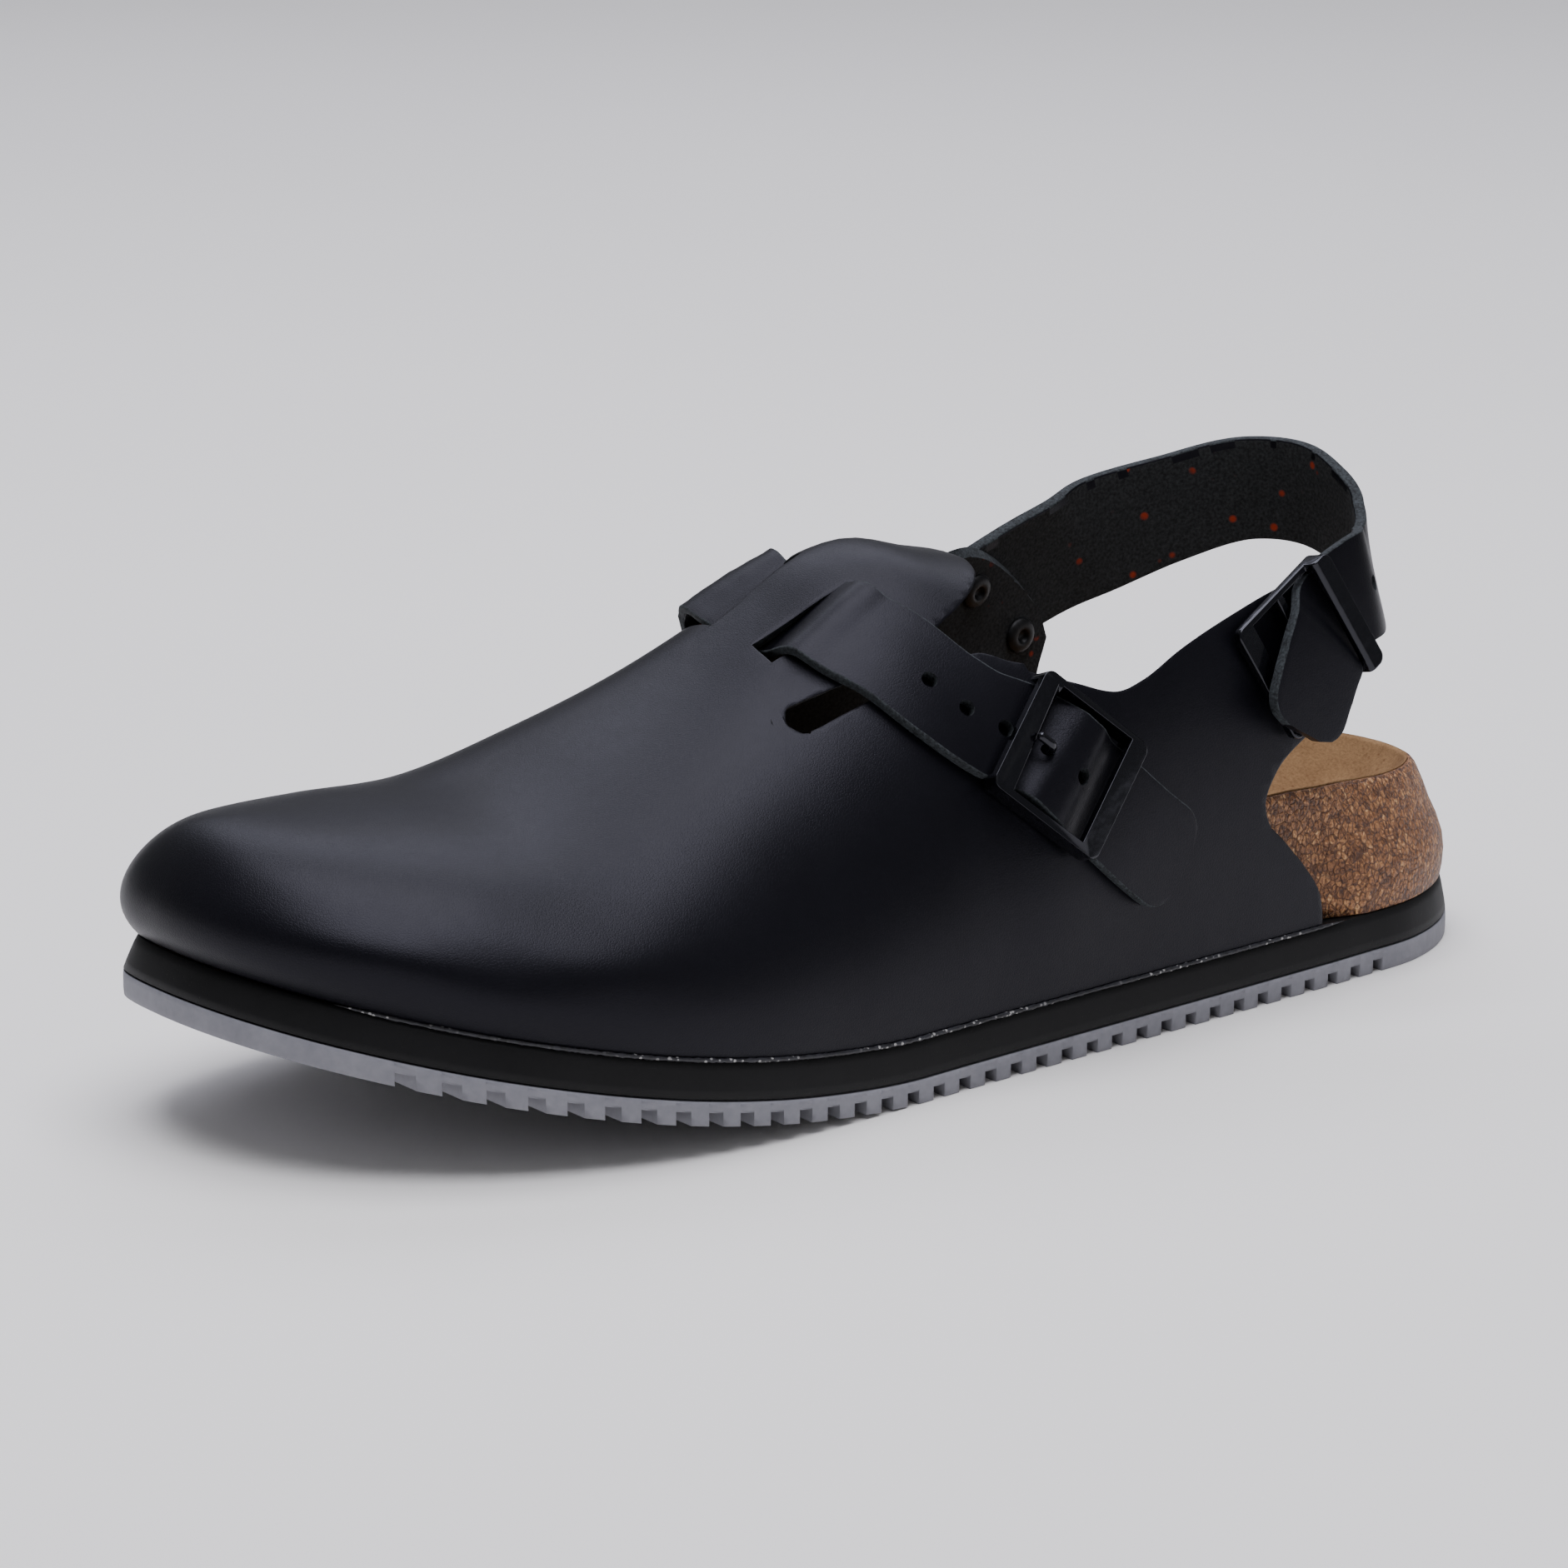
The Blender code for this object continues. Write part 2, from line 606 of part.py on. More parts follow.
def throat_cutter():
    """The slits beside the tongue and the opening behind it, seen from above."""
    def at(row_along, part, side):
        foot, _ = edge(side, row_along, taper(row_along))
        middle = column(RIDGE, "shift", row_along) * BALL_WIDTH
        return (middle + (foot[0] - middle) * part, foot[1])

    quarter, tongue = {}, {}
    for side in (-1, 1):
        quarter[side] = curve([at(row.along, row.quarter, side) for row in THROAT], 24)
        tongue[side] = curve([at(row.along, row.tongue, side) for row in THROAT], 26)
        behind = [at(share, part, side) for share, part in THROAT_BACK]
        quarter[side] = list(quarter[side]) + behind
    tip = [at(0.4045, 0.0, 1)]
    outline = quarter[1] + quarter[-1][::-1] + list(tongue[-1]) + tip + list(tongue[1])[::-1]
    return prism("throat_cutter", outline, 0.5 * INSTEP_HEIGHT, 1.6 * INSTEP_HEIGHT, placed)


def collar_cutter(name, rows, side):
    """Everything above the collar and behind the quarter on one side, seen from that side."""
    line = curve([(row.along * LENGTH, row.height * EAR_HEIGHT) for row in rows], 64)
    back = UPPER_BACK * LENGTH - 0.02
    top = 1.8 * EAR_HEIGHT
    outline = list(line) + [(line[-1][0], -0.01), (back, -0.01), (back, top), (line[0][0], top)]
    inside, outside = 0.17 * BALL_WIDTH * side, 0.7 * BALL_WIDTH * side
    return prism(name, outline, inside, outside, lambda d, z, x: placed(x, d, z))


def slot_cutter(name, rear, front):
    """A slot in the tongue that the instep strap passes through: x at its rear and front ends."""
    places = [(x, SLOT_REAR) for x in rear] + [(x, SLOT_FRONT) for x in reversed(front)]
    outline = [(x * BALL_WIDTH, along * LENGTH) for x, along in places]
    return prism(name, outline, 0.6 * INSTEP_HEIGHT, 1.2 * INSTEP_HEIGHT, placed)


def upper(finish):
    shell = upper_shell(finish)
    cut(shell, throat_cutter())
    cut(shell, collar_cutter("lateral_collar_cutter", LATERAL_COLLAR, 1))
    cut(shell, collar_cutter("medial_collar_cutter", MEDIAL_COLLAR, -1))
    cut(shell, slot_cutter("lateral_slot_cutter", (0.030, 0.140), (0.030, 0.176)))
    cut(shell, slot_cutter("medial_slot_cutter", (-0.225, -0.100), (-0.225, -0.100)))
    return shell


def skin_tree():
    """The outside of the upper, uncut, to lay straps and buckles on."""
    sections = skin_grid(0.02, 60, 24)
    count = len(sections[0])
    vertices = [point for section in sections for point in section]
    faces = []
    for k in range(len(sections) - 1):
        for j in range(count - 1):
            here, ahead = k * count + j, (k + 1) * count + j
            faces.append((here, here + 1, ahead + 1, ahead))
    return BVHTree.FromPolygons(vertices, faces)


def lay(tree, point, lift):
    """The nearest place on the skin, raised by lift, and the outward normal there."""
    spot, normal, _, _ = tree.find_nearest(point)
    if normal.dot(spot - Vector((0, spot.y, 0.3 * INSTEP_HEIGHT))) < 0:
        normal = -normal
    return spot + normal * lift, normal


Station = namedtuple("Station", "middle along across normal half hold lift")
SEAT = CLEARANCE
BAR_SEAT = 2 * CLEARANCE
OVER_BAR = BAR_SEAT + BAR_THICKNESS + 1.5 * CLEARANCE
UNDER_TONGUE = -(WALL + 2 * CLEARANCE + STRAP_THICKNESS)
FRAME_TOP = SEAT + STRAP_THICKNESS + 3 * CLEARANCE + BAR_THICKNESS


def leather_band(name, stations, tree, finish, columns=4):
    """A leather band through stations, laid on the skin where hold is 1."""
    rows = []
    for station in stations:
        low, high = [], []
        for k in range(columns + 1):
            offset = station.half * (2 * k / columns - 1)
            free = station.middle + station.across * offset
            spot, normal = lay(tree, free, station.lift)
            base = free.lerp(spot, station.hold)
            facing = station.normal.lerp(normal, station.hold).normalized()
            low.append(base)
            high.append(base + facing * STRAP_THICKNESS)
        rows.append(low + high[::-1])
    vertices, faces = loft(rows)
    return add_object(name, vertices, faces, finish)


def end_half(left):
    """Half the strap's width at that distance from its free end, whose corners are round."""
    half = STRAP_WIDTH / 2
    corner = END_CORNER * half
    if left >= corner:
        return half
    return half - corner + corner * math.sqrt(max(1 - ((corner - left) / corner) ** 2, 0.0))


def buckle_lift(ahead, tip_over):
    """How far the strap rises over the buckle's bars; ahead is the distance past the middle."""
    ramp, flat = 0.25 * BUCKLE_LENGTH, 0.06 * BUCKLE_LENGTH
    away = -ahead if ahead < 0 else 0.0 if tip_over else ahead
    rise = smoothstep(1 - (away - flat) / ramp)
    return rise * (OVER_BAR - SEAT + (2 * CLEARANCE if tip_over else 0))


def travel_to(spot, points, travel):
    """The travel along a row of points at the place nearest to spot."""
    places = np.array(points)[:, :3]
    k = min(max(int(np.argmin(np.linalg.norm(places - np.array(spot), axis=1))), 1), len(places) - 2)
    along = (places[k + 1] - places[k - 1]) / np.linalg.norm(places[k + 1] - places[k - 1])
    return travel[k] + float(np.dot(np.array(spot) - places[k], along))


def skin_spot(tree, spot, width, height, lift=0.0):
    """A point on the skin and the normal there, from shares of the named sizes."""
    return lay(tree, placed(spot.x * width, spot.along * LENGTH, spot.height * height), lift)


def instep_stations(tree, count=42):
    points, lifts = [], []
    for row in INSTEP_STRAP:
        spot, _ = skin_spot(tree, row, BALL_WIDTH, INSTEP_HEIGHT)
        points.append(tuple(spot))
        lifts.append(row.lift)
    table = curve([(*point, lift) for point, lift in zip(points, lifts)], count)
    travel = path_travel(table)
    buckle, _ = skin_spot(tree, INSTEP_BUCKLE, BALL_WIDTH, INSTEP_HEIGHT)
    at_buckle = travel_to(buckle, table, travel)
    stations = []
    for k in range(count):
        along = Vector(table[min(k + 1, count - 1), :3] - table[max(k - 1, 0), :3]).normalized()
        spot, normal = lay(tree, Vector(table[k, :3]), 0.0)
        across = normal.cross(along).normalized()
        lift = SEAT + table[k, 3] * (SEAT - UNDER_TONGUE) + buckle_lift(travel[k] - at_buckle, False)
        half = end_half(travel[-1] - travel[k])
        stations.append(Station(spot, along, across, normal, half, 1.0, lift))
    return stations


def heel_stations(tree, count=42):
    table = []
    for row in HEEL_STRAP:
        point = placed(row.x * HEEL_WIDTH, row.along * LENGTH, row.height * EAR_HEIGHT)
        if row.hold:
            point, _ = lay(tree, point, SEAT)
        table.append((*point, math.radians(row.lean), row.hold, row.flare))
    table = curve(table, count)
    travel = path_travel(table)
    buckle, _ = skin_spot(tree, HEEL_BUCKLE, HEEL_WIDTH, EAR_HEIGHT)
    at_buckle = travel_to(buckle, table, travel)
    stations = []
    for k in range(count):
        middle = Vector(table[k, :3])
        along = Vector(table[min(k + 1, count - 1), :3] - table[max(k - 1, 0), :3]).normalized()
        flat = Vector((-along.y, along.x, 0)).normalized()
        lean = table[k, 3]
        normal = flat * math.cos(lean) + Vector((0, 0, math.sin(lean)))
        across = normal.cross(along).normalized()
        normal = along.cross(across).normalized()
        hold = smoothstep(table[k, 4])
        lift = SEAT + buckle_lift(travel[k] - at_buckle, True)
        half = end_half(travel[-1] - travel[k]) * table[k, 5]
        stations.append(Station(middle, along, across, normal, half, hold, lift))
    return stations


def box(name, low, high):
    """A box between two corners."""
    x, y, z = zip(low, high)
    vertices = [(x[i], y[j], z[k]) for i in (0, 1) for j in (0, 1) for k in (0, 1)]
    faces = [(0, 1, 3, 2), (4, 6, 7, 5), (0, 4, 5, 1), (2, 3, 7, 6), (0, 2, 6, 4), (1, 5, 7, 3)]
    return add_object(name, vertices, faces, cutter=True)


def seat_matrix(tree, spot, width, height, towards):
    """Axes on the skin: X along the strap, Z outwards."""
    point, normal = skin_spot(tree, spot, width, height)
    along = (towards - normal * towards.dot(normal)).normalized()
    along = Matrix.Rotation(math.radians(spot.turn), 3, normal) @ along
    across = normal.cross(along)
    axes = Matrix((along, across, normal)).transposed().to_4x4()
    axes.translation = point
    return axes


def buckle(name, seat, tip_over, finish):
    """A square frame with a bar under the strap; where tip_over, the strap's end lies over it."""
    inner = STRAP_WIDTH / 2 + BUCKLE_PLAY
    outer = inner + SIDE_BAR
    end = BUCKLE_LENGTH / 2
    low = BAR_SEAT
    level = FRAME_TOP - BAR_THICKNESS
    middle = low + BAR_THICKNESS
    side_top = low + 0.6 * BAR_THICKNESS if tip_over else FRAME_TOP
    front_low = low if tip_over else level
    frame = box(name, (-end, -outer, level), (-end + BAR_WIDTH, outer, FRAME_TOP))
    bars = [((end - BAR_WIDTH, -outer, front_low), (end, outer, front_low + BAR_THICKNESS))]
    bars.append(((-BAR_THICKNESS / 2, -outer, low), (BAR_THICKNESS / 2, outer, middle)))
    for side in (-1, 1):
        near, far = sorted((side * inner, side * outer))
        bars.append(((-end, near, low), (end, far, side_top)))
        if tip_over:
            bars.append(((-end, near, low), (-end + 0.6 * BAR_WIDTH, far, FRAME_TOP)))
    for k, (first, second) in enumerate(bars):
        cut(frame, box(f"bar_{k}", first, second), "UNION")
    shape = bmesh.new()
    shape.from_mesh(frame.data)
    bmesh.ops.dissolve_limit(shape, angle_limit=0.01, verts=shape.verts, edges=shape.edges)
    edges = [e for e in shape.edges if len(e.link_faces) == 2 and e.calc_face_angle() > 0.5]
    corners = [e for e in edges if e.is_convex and e.calc_length() > BAR_THICKNESS * 0.9]
    bmesh.ops.bevel(shape, geom=corners, offset=0.18 * BAR_THICKNESS, segments=1, affect="EDGES")
    bmesh.ops.triangulate(shape, faces=shape.faces)
    shape.transform(seat)
    shape.to_mesh(frame.data)
    shape.free()
    frame.hide_render = False
    frame.display_type = "TEXTURED"
    frame.data.materials.append(finish)
    return frame


def tube(name, points, radius, finish, sides=8):
    """A round bar through points in a plane, with flat ends."""
    rings = []
    count = len(points)
    for k, point in enumerate(points):
        along = (points[min(k + 1, count - 1)] - points[max(k - 1, 0)]).normalized()
        across = Vector((0, 1, 0))
        up = along.cross(across)
        turns = [2 * math.pi * j / sides for j in range(sides)]
        rings.append([point + across * radius * math.cos(a) + up * radius * math.sin(a) for a in turns])
    vertices, faces = loft(rings)
    return add_object(name, vertices, faces, finish)


def prong(name, seat, finish):
    """The buckle's prong: up through the strap beside the middle bar, then over the end bar."""
    rest = FRAME_TOP + PRONG_RADIUS + CLEARANCE
    strap_top = OVER_BAR + STRAP_THICKNESS
    over = max(rest, strap_top + PRONG_RADIUS + CLEARANCE)
    back = PRONG_BACK
    tip = BUCKLE_LENGTH / 2 - (1 - PRONG_REACH) * BAR_WIDTH
    path = [(-back, BAR_SEAT), (-back, strap_top - CLEARANCE)]
    path.append((-back - 0.2 * (tip - back), 0.5 * (strap_top + over) + CLEARANCE))
    path += [(-back - 0.65 * (tip - back), over), (-tip, rest)]
    made = tube(name, [Vector((u, 0, n)) for u, n in path], PRONG_RADIUS, finish)
    made.data.transform(seat)
    return made


def drill(target, spot, axis, radius, depth, sides=10):
    """A round hole through the target along axis."""
    turn = axis.to_track_quat("Z", "Y").to_matrix().to_4x4()
    turn.translation = spot
    turns = [2 * math.pi * k / sides for k in range(sides)]
    outline = [(radius * math.cos(a), radius * math.sin(a)) for a in turns]
    cut(target, prism("drill", outline, -depth, depth, lambda a, b, c: turn @ Vector((a, b, c))))


def punch(strap, stations, middle, offsets):
    """Holes in a strap at distances from the station nearest to middle."""
    places = np.array([tuple(s.middle) for s in stations])
    travel = path_travel(places)
    start = travel_to(middle, places, travel)
    for offset in offsets:
        at = start + offset
        k = int(np.searchsorted(travel, at)) - 1
        share = (at - travel[k]) / (travel[k + 1] - travel[k])
        spot = stations[k].middle.lerp(stations[k + 1].middle, share)
        drill(strap, spot, stations[k].normal, HOLE_RADIUS, 4 * STRAP_THICKNESS)


def rivet(name, seat, finish, sides=10):
    """A rivet with a head on each side of the quarter and the heel strap."""
    under = -(WALL + CLEARANCE)
    over = SEAT + STRAP_THICKNESS + CLEARANCE
    head = 0.3 * RIVET_HEAD
    profile = [(0.7 * RIVET_HEAD, under - head), (RIVET_HEAD, under - 0.4 * head), (RIVET_HEAD, under),
               (RIVET_SHANK, under), (RIVET_SHANK, over), (RIVET_HEAD, over),
               (RIVET_HEAD, over + 0.4 * head), (0.7 * RIVET_HEAD, over + head)]
    turns = [2 * math.pi * k / sides for k in range(sides)]
    rings = [[seat @ Vector((r * math.cos(a), r * math.sin(a), z)) for a in turns] for r, z in profile]
    vertices, faces = loft(rings)
    return add_object(name, vertices, faces, finish)


def main():
    for old in list(bpy.data.objects):
        bpy.data.objects.remove(old)
    black = material("black_leather", (0.012, 0.013, 0.016), 0.38)
    rubber = material("grey_rubber", (0.30, 0.31, 0.33), 0.65)
    foam = material("black_foam", (0.012, 0.012, 0.014), 0.55)
    cork = material("cork", (0.47, 0.32, 0.20), 0.8)
    suede = material("suede", (0.45, 0.34, 0.24), 0.95)
    lacquer = material("black_lacquer", (0.01, 0.01, 0.012), 0.22, 0.6)
    outsole(rubber)
    midsole(foam)
    footbed(cork)
    insole(suede)
    leather = upper(black)
    tree = skin_tree()

    stations = instep_stations(tree)
    strap = leather_band("instep_strap", stations, tree, black)
    seat, _ = skin_spot(tree, INSTEP_BUCKLE, BALL_WIDTH, INSTEP_HEIGHT)
    nearest = min(range(len(stations)), key=lambda k: (stations[k].middle - seat).length)
    towards = stations[nearest + 4].middle - stations[nearest - 4].middle
    axes = seat_matrix(tree, INSTEP_BUCKLE, BALL_WIDTH, INSTEP_HEIGHT, towards)
    holes = [k * HOLE_PITCH - PRONG_BACK for k in range(-HOLES_BEFORE, HOLES_AFTER + 1) if k]
    punch(strap, stations, seat, holes)
    axis = axes.to_3x3() @ Vector((0, 0, 1))
    radius = PRONG_RADIUS + 2 * CLEARANCE
    drill(strap, axes @ Vector((-PRONG_BACK, 0, 0)), axis, radius, 4 * STRAP_THICKNESS)
    buckle("instep_buckle", axes, False, lacquer)
    prong("instep_prong", axes, lacquer)

    stations = heel_stations(tree)
    strap = leather_band("heel_strap", stations, tree, black)
    seat, _ = skin_spot(tree, HEEL_BUCKLE, HEEL_WIDTH, EAR_HEIGHT)
    towards = Vector((0, -1, 0))
    buckle("heel_buckle", seat_matrix(tree, HEEL_BUCKLE, HEEL_WIDTH, EAR_HEIGHT, towards), True, lacquer)
    start = -BUCKLE_LENGTH / 2 - HOLE_PITCH
    punch(strap, stations, seat, [start - k * HOLE_PITCH for k in range(HEEL_HOLES)])
    for k, spot in enumerate(RIVETS):
        axes = seat_matrix(tree, spot, HEEL_WIDTH, EAR_HEIGHT, Vector((0, -1, 0)))
        axis = axes.to_3x3() @ Vector((0, 0, 1))
        for sheet in (leather, strap):
            drill(sheet, axes.translation, axis, RIVET_SHANK + CLEARANCE, 3 * WALL)
        rivet(f"rivet_{k + 1}", axes, lacquer)


main()
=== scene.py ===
# %% [markdown]
# # Dressing a chef's clog
# The frame holds the shoe's solids at their real size: sole, cork footbed, leather upper, two straps
# and two buckles. This lesson models each of them again, finely, in the same places, and gives each
# one its finish. All lengths are in metres. The toe points to -Y, +X is the outer side, +Z is up.

# %% Load the frame
import math
import random
from collections import namedtuple
from functools import lru_cache

import bmesh
import bpy
import numpy as np
from mathutils import Matrix, Vector
from mathutils.bvhtree import BVHTree


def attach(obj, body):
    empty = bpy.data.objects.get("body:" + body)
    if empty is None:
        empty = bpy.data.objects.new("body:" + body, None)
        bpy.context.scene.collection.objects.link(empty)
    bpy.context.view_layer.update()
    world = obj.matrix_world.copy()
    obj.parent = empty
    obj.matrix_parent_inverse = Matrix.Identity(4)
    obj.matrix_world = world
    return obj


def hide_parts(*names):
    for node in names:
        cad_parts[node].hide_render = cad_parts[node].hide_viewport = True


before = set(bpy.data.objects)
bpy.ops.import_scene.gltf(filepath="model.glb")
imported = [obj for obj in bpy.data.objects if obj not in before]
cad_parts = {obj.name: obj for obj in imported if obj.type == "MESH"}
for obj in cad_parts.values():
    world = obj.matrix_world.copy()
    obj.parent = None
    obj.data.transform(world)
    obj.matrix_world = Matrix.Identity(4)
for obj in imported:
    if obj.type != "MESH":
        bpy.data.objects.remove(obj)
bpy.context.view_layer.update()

# %% [markdown]
# ## Camera, floor and light
# The photo was taken from the outer front, a little above the shoe, with a long lens. A camera is
# placed from an azimuth, an elevation and a distance, and looks at a point near the shoe's middle.
# A black object shows its form only through what it reflects, so the light is a few large soft
# panels: one overhead and one behind for the cool sheen on the vamp, and a weak one at the side.

# %% Camera
AZIMUTH = math.radians(53.77)
ELEVATION = math.radians(14.56)
DISTANCE = 1.140
AIM = Vector((0, -0.0142, 0.0495))


def away(azimuth, elevation):
    """The direction from the shoe to something at that azimuth and elevation."""
    level = math.cos(elevation)
    return Vector((math.sin(azimuth) * level, -math.cos(azimuth) * level, math.sin(elevation)))


def aimed(thing, place, target):
    """Put an object at place and turn its -Z axis to target."""
    thing.location = place
    thing.rotation_mode = "QUATERNION"
    thing.rotation_quaternion = (target - place).to_track_quat("-Z", "Y")
    bpy.context.scene.collection.objects.link(thing)
    return thing


camera = bpy.data.cameras.new("camera")
camera.lens = 139.9
camera.sensor_width = 36.0
camera.clip_start = 0.01
bpy.context.scene.camera = aimed(
    bpy.data.objects.new("camera", camera), AIM + DISTANCE * away(AZIMUTH, ELEVATION), AIM
)

# %% Floor and light
FLOOR_SIZE = 12.0


def panel(name, azimuth, elevation, distance, size, power, colour):
    """A large soft light, named for where it stands."""
    light = bpy.data.lights.new(name, "AREA")
    light.color = colour
    light.shape = "RECTANGLE"
    light.size, light.size_y = size
    light.energy = power
    place = AIM + distance * away(math.radians(azimuth), math.radians(elevation))
    return aimed(bpy.data.objects.new(name, light), place, AIM)


panel("overhead", 60, 84, 1.5, (1.3, 1.3), 34, (0.92, 0.92, 1.0))
panel("outer_side", 105, 30, 2.0, (1.2, 1.0), 1, (1.0, 1.0, 1.0))
panel("behind", 236, 46, 1.9, (1.8, 0.9), 15, (0.84, 0.85, 1.0))

world = bpy.data.worlds.new("studio")
world.use_nodes = True
world.node_tree.nodes["Background"].inputs["Color"].default_value = (0.95, 0.96, 1.0, 1)
world.node_tree.nodes["Background"].inputs["Strength"].default_value = 0.20
bpy.context.scene.world = world

# %% [markdown]
# ## Shader sums as Python
# A finish is worked out from noise and cells. Each number that varies over a surface is wrapped in a
# small class, so that a sum written with + and * adds the Math nodes by itself. Every other node
# comes from one method, which sets the node's own settings first and then its sockets.

# %% Wires and finishes


class Wire:
    """A number that varies over a surface; Python's operators on it add Math nodes."""

    def __init__(self, finish, socket):
        self.finish = finish
        self.socket = socket

    def math(self, operation, *values):
        inputs = dict(enumerate(values))
        return self.finish.wire("ShaderNodeMath", "Value", {"operation": operation}, inputs)

    def __add__(self, other):
        return self.math("ADD", self, other)

    def __sub__(self, other):
        return self.math("SUBTRACT", self, other)

    def __rsub__(self, other):
        return self.math("SUBTRACT", other, self)

    def __mul__(self, other):
        return self.math("MULTIPLY", self, other)

    __radd__ = __add__
    __rmul__ = __mul__

    def between(self, low, high):
        """0 up to low, 1 from high on, and smooth in between."""
        settings = {"interpolation_type": "SMOOTHSTEP"}
        inputs = {"Value": self, "From Min": low, "From Max": high}
        return self.finish.wire("ShaderNodeMapRange", "Result", settings, inputs)


class Finish:
    """A material under construction, around one Principled shader."""

    def __init__(self, name):
        self.material = bpy.data.materials.new(name)
        self.material.use_nodes = True
        self.tree = self.material.node_tree
        self.shader = self.tree.nodes["Principled BSDF"]
        self.place = self.node("ShaderNodeTexCoord").outputs["Object"]

    def node(self, kind, settings=None, inputs=None):
        """Any node: its settings come first, a ramp's stops among them, then its inputs."""
        made = self.tree.nodes.new(kind)
        for name, value in (settings or {}).items():
            if name == "stops":
                for position, colour in value[2:]:
                    made.color_ramp.elements.new(position)
                for element, (position, colour) in zip(made.color_ramp.elements, sorted(value)):
                    element.position = position
                    element.color = (*colour, 1)
            else:
                setattr(made, name, value)
        for name, value in (inputs or {}).items():
            self.feed(made.inputs[name], value)
        return made

    def feed(self, socket, value):
        """Link a wire or an output to the socket, or set the socket to a value."""
        if isinstance(value, Wire):
            self.tree.links.new(value.socket, socket)
        elif isinstance(value, bpy.types.NodeSocket):
            self.tree.links.new(value, socket)
        elif isinstance(value, tuple) and len(value) == 3 and socket.type == "RGBA":
            socket.default_value = (*value, 1)
        else:
            socket.default_value = value

    def wire(self, kind, output, settings=None, inputs=None):
        return Wire(self, self.node(kind, settings, inputs).outputs[output])

    def noise(self, size, detail=2.0, place=None):
        """Smooth noise whose lumps are about size metres across."""
        inputs = {"Vector": place or self.place, "Scale": 1 / size, "Detail": detail}
        return self.wire("ShaderNodeTexNoise", "Fac", None, inputs)

    def cells(self, size, feature="F1", output="Distance", place=None):
        """Cells about size metres across."""
        inputs = {"Vector": place or self.place, "Scale": 1 / size}
        return self.wire("ShaderNodeTexVoronoi", output, {"feature": feature}, inputs)

    def stretched(self, stretch):
        """The object's coordinates scaled along each axis."""
        inputs = {"Vector": self.place, "Scale": stretch}
        return self.node("ShaderNodeMapping", None, inputs).outputs[0]

    def ramp(self, amount, stops):
        """A colour read off a ramp of (position, colour) stops."""
        return self.node("ShaderNodeValToRGB", {"stops": stops}, {"Fac": amount}).outputs["Color"]

    def tones(self, amount, dark, light, low=0.3, high=0.7):
        """A ramp from one screen colour to another."""
        return self.ramp(amount, [(low, paint(*dark)), (high, paint(*light))])

    def mix(self, amount, first, second):
        """A colour between two others."""
        inputs = {"Factor": amount, 6: first, 7: second}
        return self.node("ShaderNodeMix", {"data_type": "RGBA"}, inputs).outputs[2]

    def relief(self, *layers):
        """Bump in metres of height, one node for each (height, metres) layer."""
        normal = None
        for height, metres in layers:
            inputs = {"Height": height, "Distance": metres, "Strength": 1.0}
            if normal:
                inputs["Normal"] = normal
            normal = self.node("ShaderNodeBump", None, inputs).outputs["Normal"]
        self.feed(self.shader.inputs["Normal"], normal)

    def set(self, **values):
        """Set the shader's own sockets; Base_Color stands for Base Color, and so on."""
        for name, value in values.items():
            self.feed(self.shader.inputs[name.replace("_", " ")], value)
        return self.material


def paint(red, green, blue):
    """A colour given as it shows on a screen, from 0 to 255, as linear light."""
    shares = [channel / 255 for channel in (red, green, blue)]
    return tuple(s / 12.92 if s <= 0.04045 else ((s + 0.055) / 1.055) ** 2.4 for s in shares)


# %% [markdown]
# ## Leather
# The upper is smooth, finished hide: close grain, a soft shine and a cool tint. Its back is the flesh
# side, fibrous and matt, and where it is cut the edge shows grey-green fibre. One hide therefore
# needs three finishes, which the piece carries on different faces.

# %% Grain side
GRAIN_SIZE = 0.00055
PORE_SIZE = 0.0011


def grain_leather():
    finish = Finish("black_grain_leather")
    tone = finish.noise(0.030, 3)
    fine = finish.noise(0.004, 2)
    creases = finish.cells(GRAIN_SIZE, "DISTANCE_TO_EDGE").between(0.0, 0.16)
    pores = finish.cells(PORE_SIZE).between(0.05, 0.22)
    fibre = finish.noise(0.00022, 2)
    colour = finish.tones(tone, (6, 6, 10), (9, 9, 14))
    roughness = 0.33 + tone * 0.08 + fine * 0.06
    finish.relief((tone, 0.0002), (creases, 0.000012), (pores, 0.000010), (fibre, 0.000008))
    finish.set(Specular_IOR_Level=0.2, Specular_Tint=(0.86, 0.85, 1.0, 1))
    return finish.set(Base_Color=colour, Roughness=roughness)


def flesh_leather():
    finish = Finish("black_flesh_leather")
    nap = finish.noise(0.0006, 4)
    patch = finish.noise(0.009, 3)
    flecks = finish.cells(0.0045).between(0.24, 0.12) * finish.noise(0.012, 1).between(0.50, 0.58)
    dark = finish.tones(nap, (25, 26, 27), (53, 55, 56), high=0.75)
    colour = finish.mix(flecks, dark, paint(150, 50, 24))
    finish.relief((patch, 0.0002), (nap, 0.00012))
    return finish.set(Base_Color=colour, Roughness=0.93, Specular_IOR_Level=0.25)


def raw_edge():
    finish = Finish("raw_leather_edge")
    fibre = finish.noise(0.0005, 4)
    layers = finish.noise(0.0022, 2)
    colour = finish.tones(fibre + layers * 0.4 - 0.2, (25, 27, 29), (60, 65, 68), low=0.32)
    finish.relief((fibre, 0.00012))
    return finish.set(Base_Color=colour, Roughness=0.85, Specular_IOR_Level=0.3)


GRAIN, FLESH, RAW = grain_leather(), flesh_leather(), raw_edge()
HIDE = [GRAIN, FLESH, RAW]

